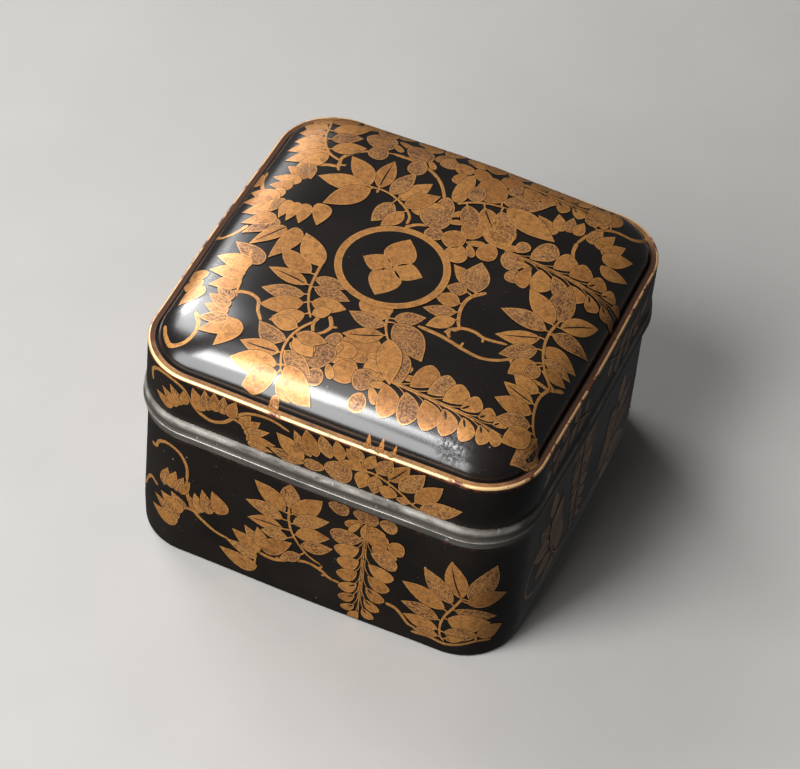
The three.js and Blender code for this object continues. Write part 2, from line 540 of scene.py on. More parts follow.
def dome_rings(offset, foot, rise, count=26):
    """Rings of a dome from near its crown down to its foot, closer together on the shoulder."""
    crowding = 0.62
    edge = ring(offset, foot)[:, :2]
    distance = np.linalg.norm(edge, axis=1)[:, None]
    crown = (HALF + offset) * CROWN_SHARE
    rings = []
    for step in range(1, count):
        share = math.sin(math.pi / 2 * step / count) ** crowding
        out = edge / distance * dome_shape(share, distance, crown)
        height = foot + rise * math.sqrt(1 - share**SHOULDER_POWER)
        rings.append(np.column_stack([out, np.full(len(edge), height)]))
    return rings


def faces_between(rings, closed=False):
    """Faces from each ring to the next, and where it is closed from the last to the first."""
    count = len(rings[0])
    faces = []
    for level in range(len(rings) if closed else len(rings) - 1):
        low = level * count
        high = (level + 1) % len(rings) * count
        for i in range(count):
            j = (i + 1) % count
            faces.append((low + i, low + j, high + j, high + i))
    return faces


def skin(rings, first=None, last=None):
    """Points and faces of a closed skin, with a point at each end or, for a band, none."""
    count = len(rings[0])
    places = np.concatenate(rings)
    faces = faces_between(rings, closed=first is None)
    if first is not None:
        start = len(places)
        top = (len(rings) - 1) * count
        places = np.vstack([places, (0, 0, first), (0, 0, last)])
        for i in range(count):
            j = (i + 1) % count
            faces.append((start, j, i))
            faces.append((start + 1, top + i, top + j))
    return places, faces


def make_body(material):
    seat = BODY_BAND_FLARE - BAND_THICKNESS
    bend = BODY_BAND_FOOT - BODY_FLARE_LENGTH
    heights = [TAPER_TOP, (TAPER_TOP + bend) / 2, *np.linspace(bend, BODY_BAND_FOOT, 9)]
    flare = [ring(float(wall_offset(z)), z) for z in heights]
    rings = [
        *round_rings(-FOOT_INSET - FOOT_ROUND, FOOT_ROUND, FOOT_ROUND, -90, 0),
        *flare,
        ring(seat, BODY_BAND_FOOT),
        ring(seat, SEAM - BAND_FOOT),
        ring(LIP_OFFSET, SEAM - BAND_FOOT),
        *round_rings(LIP_OFFSET - LIP_ROUND, SEAM + LIP_HEIGHT - LIP_ROUND, LIP_ROUND, 0, 90, 3),
        *round_rings(-BODY_WALL + LIP_ROUND, SEAM + LIP_HEIGHT - LIP_ROUND, LIP_ROUND, 90, 180, 3),
        *round_rings(-BODY_WALL - FLOOR_FILLET, FLOOR + FLOOR_FILLET, FLOOR_FILLET, 0, -90),
    ]
    piece = add_piece("body_lacquer", *skin(rings, 0, FLOOR), material, "lacquer")
    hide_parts("body")


def make_body_band(material):
    inner = BODY_BAND_FLARE - BAND_THICKNESS + GLUE_LINE
    foot_end = LIP_OFFSET + GLUE_LINE
    soft = BAND_EDGE_ROUND
    rings = [
        ring(BODY_BAND_FLARE - 0.1, BODY_BAND_FOOT),
        ring(BODY_BAND_FLARE + 0.04, BODY_BAND_FOOT + 0.15),
        ring(BODY_BAND_FLARE + 0.2, BODY_BAND_FOOT + 0.8),
        ring(SEAM_FLARE - 0.25, SEAM - 0.9),
        *round_rings(SEAM_FLARE - soft, SEAM - soft, soft, 0, 90, 4),
        ring(foot_end, SEAM),
        ring(foot_end, SEAM - BAND_FOOT),
        ring(inner, SEAM - BAND_FOOT),
        ring(inner, BODY_BAND_FOOT),
    ]
    piece = add_piece("body_rim_pewter", *skin(rings), material, "pewter")
    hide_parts("body_rim")


def make_lid_band(material):
    inner = LID_BAND_FLARE - BAND_THICKNESS + GLUE_LINE
    outside = []
    for out, up in LID_BAND_SECTION:
        outside.append(ring(SEAM_FLARE + out, SEAM + up * (LID_BAND_TOP - SEAM) / LID_BAND_DRAWN))
    rings = [
        *outside,
        ring(inner, LID_BAND_TOP),
        ring(inner, SEAM + BAND_FOOT),
        ring(LID_INNER, SEAM + BAND_FOOT),
        ring(LID_INNER, SEAM),
    ]
    piece = add_piece("lid_rim_pewter", *skin(rings), material, "pewter")
    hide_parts("lid_rim")


def make_lid(material):
    seat = LID_BAND_FLARE - BAND_THICKNESS
    springing = LID_EDGE - LID_SHOULDER
    ceiling = dome_rings(LID_INNER, springing, CROWN - LID_TOP - springing, 16)
    roof = dome_rings(DOME_OFFSET, LID_EDGE - CREASE_DEPTH, DOME_RISE + CREASE_DEPTH)
    rings = [
        *ceiling,
        ring(LID_INNER, springing),
        ring(LID_INNER, SEAM + BAND_FOOT),
        ring(seat, SEAM + BAND_FOOT),
        ring(seat, LID_BAND_TOP),
        ring(LID_FOOT - 0.15, LID_BAND_TOP),
        ring(LID_FOOT, LID_BAND_TOP + LID_FOOT_EASE),
        ring(LID_WALL, LID_BAND_TOP + LID_FLARE_LENGTH),
        *round_rings(LID_WALL - EDGE_ROUND, LID_EDGE - EDGE_ROUND, EDGE_ROUND, 0, 90),
        ring(DOME_OFFSET + CREASE_WIDTH, LID_EDGE),
        ring(DOME_OFFSET, LID_EDGE - CREASE_DEPTH),
        *roof[::-1],
    ]
    piece = add_piece("lid_lacquer", *skin(rings, CROWN - LID_TOP, CROWN), material, "lacquer")
    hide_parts("lid")


def make_gilt_edge(material):
    """A gilt skin over the lid's ledge and its rounded outer edge.

    Its section holds offsets, heights and tones, and the tone parts the bead from the ledge.
    """
    film = 0.03
    section = []
    for angle in np.radians(np.linspace(-20, 90, 9)):
        radius = EDGE_ROUND + film
        offset = LID_WALL - EDGE_ROUND + radius * math.cos(angle)
        section.append((offset, LID_EDGE - EDGE_ROUND + radius * math.sin(angle), 1.0))
    for inward, lift, tone in ((0.5, 1.0, 0.8), (0.6, 0.8, 0.3), (1.1, 0.8, 0.15), (1.7, 0.8, 0.0)):
        section.append((LID_WALL - inward, LID_EDGE + film * lift, tone))
    rings = [ring(offset, height) for offset, height, _ in section]
    piece = add_piece("lid_gilt_edge", np.concatenate(rings), faces_between(rings), material, "gold")
    add_tones(piece, np.repeat([tone for _, _, tone in section], len(ALONG)))


# Ornament: flat shapes drawn in pattern coordinates and laid on the box as thin films

# Lifts off the lacquer: of the lowest film, from layer to layer, of stalks and of the medallion
FILM = 0.025
LAYER = 0.016
TOP_LAYER = 10
STALK_LIFT = FILM + (TOP_LAYER + 1) * LAYER
MEDALLION_LIFT = FILM + (TOP_LAYER + 2) * LAYER

# The width of the square cells in which the layers so far are counted
LAYER_CELL = 0.6

# The raised outline's width and height, and the dark gap left around a shape
LINE = 0.26
RIDGE = 0.009
RESERVE = 0.12

# How the half width of a shape grows from its base and shrinks to its tip, as powers
LEAF = (0.8, 1.1)
FAN = (0.5, 1.05)
PETAL = (0.85, 0.55)
ROUND = (0.6, 0.42)
FULLNESS = 1.08

# The petals of a fan reach back past their base by a share of their length, and are wider
FAN_REACH_BACK = 0.1
FAN_WIDER = 1.04

# Leaf stalks, up to this long, join a leaf to the stalk beside it
PETIOLE = 3.4

# A petal's stalk in a spike: how far back it has come, at most as a share of the room there is,
# and what is left of its distance from the axis
PETAL_STALK = ((2.4, 0.5, 0.5), (5.5, 0.8, 0.34), (9.5, 1.0, 0.2))

# Widths of the slit and of the off-centre eye from end to end, the eye's on a petal this wide or wider
SLIT_WIDTHS = 0.4 * np.sin(np.linspace(0.25, np.pi, 14)) ** 0.6
EYE_WIDTHS = np.array([0.1, 0.3, 0.44, 0.56, 0.6, 0.44, 0.2])
EYE_PETAL = 3.6

SPRAY_KINDS = ("gold", "dusted", "slit")

# The width in millimetres that the flat layout of the lid's top takes up
ROOF_MAP_WIDTH = 106


class Film:
    """Patches of one finish on one surface of the box."""

    def __init__(self, name, material, slot, surface, flat_map):
        self.name = name
        self.material = material
        self.slot = slot
        self.surface = surface
        self.flat_map = flat_map
        self.points = []
        self.lifts = []
        self.tones = []
        self.faces = []
        self.count = 0

    def patch(self, grid, lift, tone):
        """Adds a grid of pattern points, rows by columns, at a lift for each column or for all."""
        rows, columns = grid.shape[:2]
        self.points.append(grid.reshape(-1, 2))
        self.lifts.append(np.broadcast_to(lift, (rows, columns)).reshape(-1))
        self.tones.append(np.full(rows * columns, tone))
        for row in range(rows - 1):
            for column in range(columns - 1):
                a = self.count + row * columns + column
                self.faces.append((a, a + 1, a + columns + 1, a + columns))
        self.count += rows * columns

    def build(self):
        pattern = np.concatenate(self.points)
        places = self.surface(pattern, np.concatenate(self.lifts))
        piece = add_piece(self.name, places, self.faces, self.material, self.slot, 60)
        add_tones(piece, np.concatenate(self.tones))
        flat = self.flat_map(pattern)
        corners = np.empty(len(piece.data.loops), dtype=np.int32)
        piece.data.loops.foreach_get("vertex_index", corners)
        layer = piece.data.uv_layers.new(name="OFBake")
        layer.data.foreach_set("uv", flat[corners].reshape(-1))


def roof_map(pattern):
    return pattern / ROOF_MAP_WIDTH + 0.5


def wall_map(pattern):
    """The four sides laid out two by two, in a unit square."""
    side = np.floor((pattern[:, 0] + PERIOD / 2) / PERIOD)
    across = (pattern[:, 0] + PERIOD / 2 - side * PERIOD) / PERIOD
    up = pattern[:, 1] / CROWN
    side = side % 4
    return np.stack([(across + side % 2) / 2, (up + side // 2) / 2], -1)


class Ornament:
    """The films of one surface, and the shapes that are drawn into them."""

    def __init__(self, name, surface, flat_map, finishes, vein_width):
        self.vein_width = vein_width
        self.gold = Film(f"{name}_gold", finishes["gold"], "gold", surface, flat_map)
        self.dusted = Film(f"{name}_sparse_gold", finishes["dusted"], "gold", surface, flat_map)
        self.lines = Film(f"{name}_gold_lines", finishes["line"], "gold", surface, flat_map)
        self.slits = Film(f"{name}_dark_lines", finishes["lacquer"], "lacquer", surface, flat_map)
        self.random = np.random.default_rng(7)
        self.levels = {}
        self.stalks = []
        self.leaf_bases = []

    def layer(self, grid):
        """A lift that puts a shape above all earlier ones that it covers."""
        cells = {(int(x), int(y)) for x, y in np.floor(grid.reshape(-1, 2) / LAYER_CELL)}
        level = min(1 + max(self.levels.get(cell, 0) for cell in cells), TOP_LAYER)
        for cell in cells:
            self.levels[cell] = level
        return FILM + level * LAYER

    def strip(self, film, path, widths, lift, tone=0.6, ridge=0.0):
        """A line along a path, with a width at each point and a raised middle."""
        path = np.asarray(path, float)
        ahead = np.gradient(path, axis=0)
        ahead /= np.maximum(np.linalg.norm(ahead, axis=1), 1e-9)[:, None]
        across = np.stack([-ahead[:, 1], ahead[:, 0]], -1) * np.asarray(widths)[:, None] / 2
        grid = np.stack([path - across, path, path + across], 1)
        film.patch(grid, np.array([lift, lift + ridge, lift]), tone)

    def stem(self, points, start=0.75, end=0.5, lift=STALK_LIFT):
        """A stalk through given points, narrower at its tips, on top of its leaves' bases."""
        path = smooth(points, 8)
        share = np.linspace(0, 1, len(path))
        narrowing = np.minimum(1, np.minimum(share, 1 - share) * 14 + 0.45)
        widths = (start + (end - start) * share) * narrowing
        self.strip(self.lines, path, widths, lift, tone=0.3, ridge=RIDGE * 2)
        self.stalks.append(path)

    def join_leaves(self):
        """Short curved leaf stalks, from the base of each leaf to the stalk beside it."""
        stalks = np.concatenate(self.stalks)
        for base, way in self.leaf_bases:
            away = np.hypot(*(stalks - base).T)
            nearest = stalks[np.argmin(away)]
            if 0.3 < away.min() < PETIOLE:
                path = smooth([base + way * 0.8, base, (base + nearest) / 2 - way * 0.15, nearest], 4)
                self.strip(self.lines, path, np.linspace(0.34, 0.5, len(path)), STALK_LIFT, 0.3, RIDGE)
        self.leaf_bases = []

    def vine(self, points):
        """A thicker shoot that runs under the leaves."""
        self.stem(points, 1.05, 0.75, FILM)

    def knots(self, points):
        """Short stubs on a vine: (x, y, direction in degrees)."""
        for x, y, toward in points:
            path = np.array([x, y], float) + direction(toward) * np.linspace(0, 1.5, 5)[:, None]
            self.strip(self.lines, path, [1.0, 0.8, 0.6, 0.65, 0.4], FILM, 0.3, RIDGE * 2)

    def outline(self, edge, lift, tone):
        """A raised line just inside a closed edge, and a fine dark gap around it."""
        ahead = np.roll(edge, -1, 0) - np.roll(edge, 1, 0)
        ahead /= np.maximum(np.linalg.norm(ahead, axis=1), 1e-9)[:, None]
        inward = np.stack([ahead[:, 1], -ahead[:, 0]], -1)
        if np.sum(inward * (edge.mean(0) - edge)) < 0:
            inward = -inward
        grid = np.stack([edge, edge + inward * LINE / 2, edge + inward * LINE], 1)
        grid = np.concatenate([grid, grid[:1]])
        self.lines.patch(grid, np.array([lift, lift + RIDGE, lift + 0.001]), tone)
        gap = np.stack([edge + inward * 0.05, edge - inward * RESERVE], 1)
        gap = np.concatenate([gap, gap[:1]])
        self.slits.patch(gap, np.array([lift - 0.005, lift - 0.006]), 0)

    def blade(self, kind, base, tip, width, lean=0.0, shape=LEAF, lift=None):
        """A leaf or petal from its base to its tip. lean puts more of the width on its left side.

        Its spine has 21 points, closer together at both ends, and slits and veins start and end
        at points of it.
        """
        base, tip = np.asarray(base, float), np.asarray(tip, float)
        axis = tip - base
        length = np.hypot(*axis)
        left = np.array([-axis[1], axis[0]]) / length
        first, last = shape
        peak = first / (first + last)
        scale = peak**first * (1 - peak) ** last
        t = (1 - np.cos(np.linspace(0, np.pi, 21))) / 2
        half = FULLNESS * width / 2 * t**first * (1 - t) ** last / scale
        bow = self.random.uniform(-0.05, 0.05) * length if shape == LEAF else 0.0
        spine = base + axis * t[:, None] + left * (bow * np.sin(np.pi * t))[:, None]
        if shape == LEAF:
            self.leaf_bases.append((base, axis / length))
        left_half = left * (half * (1 + lean))[:, None]
        right_half = left * (half * (1 - lean))[:, None]
        tone = float(self.random.uniform(0.1, 0.9))
        across = [spine - right_half * share for share in (1, 0.67, 0.33)]
        across += [spine + left_half * share for share in (0, 0.33, 0.67, 1)]
        grid = np.stack(across, 1)
        if lift is None:
            lift = self.layer(grid)
        film = self.dusted if kind == "dusted" else self.gold
        film.patch(grid, lift, tone)
        edge = np.concatenate([spine + left_half, (spine - right_half)[-2:0:-1]])
        self.outline(edge, lift + 0.002, tone * 0.6 + 0.2)
        if kind == "slit":
            self.strip(self.slits, spine[2:16], SLIT_WIDTHS, lift + 0.004)
        if kind == "eye":
            path = (spine + (left_half - right_half) * 0.3)[3:10]
            self.strip(self.slits, path, EYE_WIDTHS * min(width / EYE_PETAL, 1), lift + 0.004)
        if kind == "dusted":
            self.veins(spine, left_half, right_half, lift, shape)

    def veins(self, spine, left_half, right_half, lift, shape):
        """A midrib with slanting side veins on a leaf, and rays from the base on a petal."""
        lift += 0.003
        bold = self.vein_width
        if shape in (PETAL, ROUND):
            for across in (-0.5, 0, 0.5):
                half = left_half if across > 0 else right_half
                path = (spine + half * across)[1:14]
                self.strip(self.lines, path, bold * np.linspace(0.22, 0.12, 13), lift, 0.4)
            return
        self.strip(self.lines, spine[1:18], bold * np.linspace(0.32, 0.18, 17), lift, 0.6, 0.004)
        for start in range(4, 15, 2):
            for side, half in ((1, left_half), (-1, right_half)):
                end = min(start + 3, 19)
                near = spine[start]
                far = spine[end] + side * half[end] * 0.86
                path = near + (far - near) * np.linspace(0, 1, 4)[:, None]
                self.strip(self.lines, path, bold * np.linspace(0.2, 0.14, 4), lift, 0.4)

    def blades(self, rows, shape=LEAF):
        """Leaves or petals of one shape, from rows of a table."""
        for kind, bx, by, tx, ty, width, *lean in rows:
            if shape == FAN:
                bx, by = bx + (bx - tx) * FAN_REACH_BACK, by + (by - ty) * FAN_REACH_BACK
                width *= FAN_WIDER
            self.blade(kind, (bx, by), (tx, ty), width, lean[0] if lean else 0.0, shape)

    def raceme(self, root, end, petals):
        """A spike of blossom: petals whose stalks run back along the axis from root to end."""
        root, end = np.asarray(root, float), np.asarray(end, float)
        way = (end - root) / np.hypot(*(end - root))
        for kind, bx, by, tx, ty, width, *lean in petals:
            base = np.array([bx, by], float)
            room = np.dot(base - root, way)
            on_axis = root + way * room
            off = base - on_axis
            curve = [base + (np.array([tx, ty]) - base) * 0.12]
            for back, most, left in PETAL_STALK:
                curve.append(on_axis - way * min(back, room * most) + off * left)
            path = smooth(curve, 5)
            self.strip(self.lines, path, np.linspace(0.25, 0.15, len(path)), STALK_LIFT, 0.3, RIDGE)
            self.blade(kind, base, (tx, ty), width, lean[0] if lean else 0.0, PETAL)
        self.stem([root, (root + end) / 2, end], 0.28, 0.2)

    def spray(self, points, leaves, length, width):
        """A stalk with pairs of leaves that get shorter towards its end, and one leaf at the end."""
        path = smooth(points, 8)
        ahead = np.gradient(path, axis=0)
        ahead /= np.linalg.norm(ahead, axis=1)[:, None]
        self.stem(points, 0.5, 0.3)
        for pair in range(leaves):
            share = (pair + 0.6) / (leaves + 0.4)
            i = int(share * (len(path) - 1))
            for side in (1, -1):
                turn = math.radians(62 - 22 * share) * side
                c, s = math.cos(turn), math.sin(turn)
                way = np.array([ahead[i][0] * c - ahead[i][1] * s, ahead[i][0] * s + ahead[i][1] * c])
                size = length * (0.72 + 0.5 * math.sin(math.pi * share)) * self.random.uniform(0.92, 1.08)
                kind = SPRAY_KINDS[(pair * 2 + (side > 0)) % len(SPRAY_KINDS)]
                start = path[i] + way * 0.7
                self.blade(kind, start, start + way * size, width * size / length)
        self.blade("gold", path[-1], path[-1] + ahead[-1] * length, width)

    def disc(self, film, x, y, radius, lift, tone):
        turn = np.linspace(0, 2 * np.pi, 97)
        out = np.linspace(0, radius, 9)
        grid = np.stack([x + out[:, None] * np.cos(turn), y + out[:, None] * np.sin(turn)], -1)
        film.patch(grid, lift, tone)

    def hoop(self, film, x, y, inner, outer, lift, tone, ridge=0.0):
        turn = np.linspace(0, 2 * np.pi, 145)
        out = np.linspace(inner, outer, 5)
        grid = np.stack([x + np.outer(np.cos(turn), out), y + np.outer(np.sin(turn), out)], -1)
        film.patch(grid, lift + ridge * np.sin(np.linspace(0, np.pi, 5)), tone)

    def build(self):
        for film in (self.gold, self.dusted, self.lines, self.slits):
            film.build()


def direction(degrees):
    """A step of length 1, counted anticlockwise from the x axis."""
    return np.array([math.cos(math.radians(degrees)), math.sin(math.radians(degrees))])


def smooth(points, steps):
    """A smooth curve through the points, with a number of steps from one to the next."""
    p = np.asarray(points, float)
    p = np.vstack([2 * p[0] - p[1], p, 2 * p[-1] - p[-2]])
    path = []
    for i in range(1, len(p) - 2):
        a, b, c, d = p[i - 1 : i + 3]
        for t in np.linspace(0, 1, steps, endpoint=False):
            bend = (2 * a - 5 * b + 4 * c - d) * t**2 + (3 * b - a - 3 * c + d) * t**3
            path.append(b + 0.5 * (c - a) * t + 0.5 * bend)
    path.append(p[-2])
    return np.array(path)


# Camera, light and ground

# The photograph's view, fitted to the box's edges: degrees and millimetres
CAMERA_AZIMUTH = 19.22
CAMERA_ELEVATION = 46.53
CAMERA_ROLL = 6.26
CAMERA_TARGET = (3.38, -8.21, 40.0)
CAMERA_DISTANCE = 878.88
CAMERA_LENS = 162
CAMERA_SENSOR = 36

# Rectangular lights: name, place and size in metres, watts, and whether only the gloss shows it
SOFTBOXES = [
    ("left_softbox", (-0.6, 0.3, 0.66), (0.4, 0.4), 3.8, False),
    ("front_softbox", (-0.27, -0.46, 0.79), (0.3, 0.38), 6.6, False),
    ("low_front_softbox", (-0.44, -0.82, 0.4), (0.95, 0.76), 13.0, False),
    ("overhead_gloss", (-0.19, -0.08, 1.0), (0.35, 0.35), 0.8, True),
    ("window_gloss", (-0.735, 0.44, 0.47), (0.08, 0.14), 2.4, True),
    ("low_left_gloss", (-0.66, 0.66, 0.3), (0.5, 0.26), 0.7, True),
]

# The point in metres that every softbox faces
SOFTBOX_AIM = (0, 0, 0.05)

# The dim light from all round, and half the floor's width in metres
ROOM_GREY = (0.5, 0.5, 0.5, 1)
ROOM_STRENGTH = 0.13
GROUND_REACH = 3


def add_camera():
    azimuth = math.radians(CAMERA_AZIMUTH)
    elevation = math.radians(CAMERA_ELEVATION)
    roll = math.radians(CAMERA_ROLL)
    flat = Vector((math.sin(azimuth), -math.cos(azimuth), 0))
    back = flat * math.cos(elevation) + Vector((0, 0, math.sin(elevation)))
    right = Vector((math.cos(azimuth), math.sin(azimuth), 0))
    up = back.cross(right)
    turned_right = right * math.cos(roll) + up * math.sin(roll)
    turned_up = up * math.cos(roll) - right * math.sin(roll)
    lens = bpy.data.cameras.new("camera")
    lens.sensor_width = CAMERA_SENSOR
    lens.lens = CAMERA_LENS
    lens.clip_start = 0.01
    camera = bpy.data.objects.new("camera", lens)
    place = Vector(CAMERA_TARGET) * MM + back * (CAMERA_DISTANCE * MM)
    turned = Matrix((turned_right, turned_up, back)).transposed()
    camera.matrix_world = Matrix.Translation(place) @ turned.to_4x4()
    bpy.context.scene.collection.objects.link(camera)
    bpy.context.scene.camera = camera


def add_softbox(name, place, size, power, only_gloss):
    """A rectangular light that faces the box, or one that is only seen mirrored in its gloss."""
    data = bpy.data.lights.new(name, "AREA")
    data.shape = "RECTANGLE"
    data.size, data.size_y = size
    data.energy = power
    light = bpy.data.objects.new(name, data)
    light.visible_diffuse = not only_gloss
    place = Vector(place)
    turned = (Vector(SOFTBOX_AIM) - place).to_track_quat("-Z", "Y").to_matrix().to_4x4()
    light.matrix_world = Matrix.Translation(place) @ turned
    bpy.context.scene.collection.objects.link(light)


def add_room():
    """The dim light from all round, and colours shown as they are."""
    world = bpy.data.worlds.new("dim_room")
    world.use_nodes = True
    background = world.node_tree.nodes["Background"]
    background.inputs["Color"].default_value = ROOM_GREY
    background.inputs["Strength"].default_value = ROOM_STRENGTH
    bpy.context.scene.world = world
    bpy.context.scene.view_settings.view_transform = "Standard"


def add_ground():
    """A plain pale floor. The box isn't lit by it and doesn't mirror it, as if it stood on a dark one."""
    signs = ((-1, -1), (1, -1), (1, 1), (-1, 1))
    corners = [(GROUND_REACH * x, GROUND_REACH * y, 0) for x, y in signs]
    mesh = bpy.data.meshes.new("ground")
    mesh.from_pydata(corners, [], [(0, 1, 2, 3)])
    mesh.materials.append(ground_finish())
    ground = bpy.data.objects.new("ground", mesh)
    ground.visible_glossy = False
    ground.visible_diffuse = False
    bpy.context.scene.collection.objects.link(ground)


# The pattern on the lid's top: x to the right, y to the back, from the middle of the lid

MEDALLION = (-3.7, -2.5)
MEDALLION_OUTER = 14.0
MEDALLION_INNER = 12.2

# The medallion's leaves: direction in degrees, length and width
MEDALLION_LEAVES = ((90, 10.4, 7.4), (270, 10.4, 7.4), (0, 7.6, 5.6), (180, 7.6, 5.6))

# Vines, stalks, and the stubs on the vines

ROOF_VINES = [
    [(-35, 22.5), (-32.5, 23.4), (-30.2, 24.2), (-30.4, 27.5), (-28, 31), (-25, 33), (-20, 34.9)],
    [(-20, 34.9), (-14, 34.8), (-9.5, 33.4), (-6, 31), (-3.6, 28), (-2, 25)],
    [(-6.6, 11.6), (-4.5, 13.6), (-1.5, 15)],
    [(44.3, 45.5), (45, 41.5), (43, 38.3), (38.5, 37.2), (35.2, 34.8), (33.4, 31), (32.3, 27)],
    [(32.3, 27), (32.7, 23.5), (34.3, 20)],
    [(-41.2, -4), (-43.2, -7.2), (-45.8, -8.6), (-48, -7)],
    [(-35.5, -27.2), (-33, -26.2), (-30.3, -25.8), (-27.6, -27), (-26.3, -30), (-24.3, -32.6)],
    [(-40, -35.2), (-37.9, -38), (-37.4, -41), (-38.8, -43.8), (-41.8, -44.6), (-44.2, -42.4),
     (-45, -41), (-45.8, -39.6)],
    [(-10.2, -24.3), (-8.6, -27.2), (-9.3, -29.4), (-10.8, -31)],
    [(-12.2, -25), (-12.8, -28), (-11.8, -30.6)],
    [(19.6, 0.2), (16.8, -3), (16.2, -7), (17.3, -11.5), (18.6, -13.8)],
    [(17.4, -15), (19, -13.4), (22, -13), (25.3, -13.8), (30.5, -13)],
    [(9.5, -17.5), (15, -17.9), (18.4, -18.6), (22, -19.5), (26.5, -20), (30.5, -18.6), (34, -15.6)],
    [(18.5, -13.8), (16.4, -15.4), (17.6, -17.6)],
    [(39, -19.4), (42.2, -19.2), (44, -19), (46.8, -16.2)],
    [(-42, 5), (-43.6, 9.5), (-45.4, 13.5), (-46.2, 18)],
]

ROOF_STALKS = [
    [(-30.6, 25.9), (-33.8, 27.5), (-36.3, 30.6), (-37.9, 34.5), (-38.8, 39.3), (-40.2, 43)],
    [(-6.6, 12.5), (-7.2, 15.5), (-10.5, 18.5), (-15.5, 20.6), (-20.5, 20.4)],
    [(1.5, 25), (4.5, 27.2), (8.2, 28.7), (12.5, 29.4)],
    [(-36.5, -12), (-34.8, -17), (-34.6, -21), (-33.8, -24.5), (-33.4, -26.8)],
    [(-19.2, -9), (-18.8, -14), (-18, -19), (-16.2, -23.5), (-14, -27)],
    [(-13, -28), (-14.8, -31), (-16, -35), (-15.8, -39), (-14.2, -43)],
    [(1.9, -16), (2.4, -20), (4, -23.5), (6, -26)],
    [(38.4, 0.5), (37.8, -4), (38.2, -8.5), (39.8, -13), (42.5, -16.8), (45, -18.4)],
    [(44, -19), (43, -22.5), (43.3, -26.5), (44.6, -30.5), (46.2, -33)],
    [(40.6, -15.4), (42.8, -17.2), (44, -19)],
    [(4.2, -34.7), (6.4, -34.9), (8.2, -34.6)],
    [(-43.4, 1.4), (-42.6, 3.2), (-41.6, 4.2)],
]

ROOF_KNOTS = [
    (-30, 23.8, -60), (-29.8, 24.6, 20), (-28.8, 31.2, 60), (24.8, -13.8, -80), (33, -17, -50),
    (17, -15.6, -150), (21, -19, 85), (-33.5, -26.4, 30), (-33.5, -26.6, -70), (-35, -26, 120),
    (-8.6, -27.4, 20), (37.8, -4, 10), (-17.8, 20.9, -80), (45.5, -17.6, 40),
]

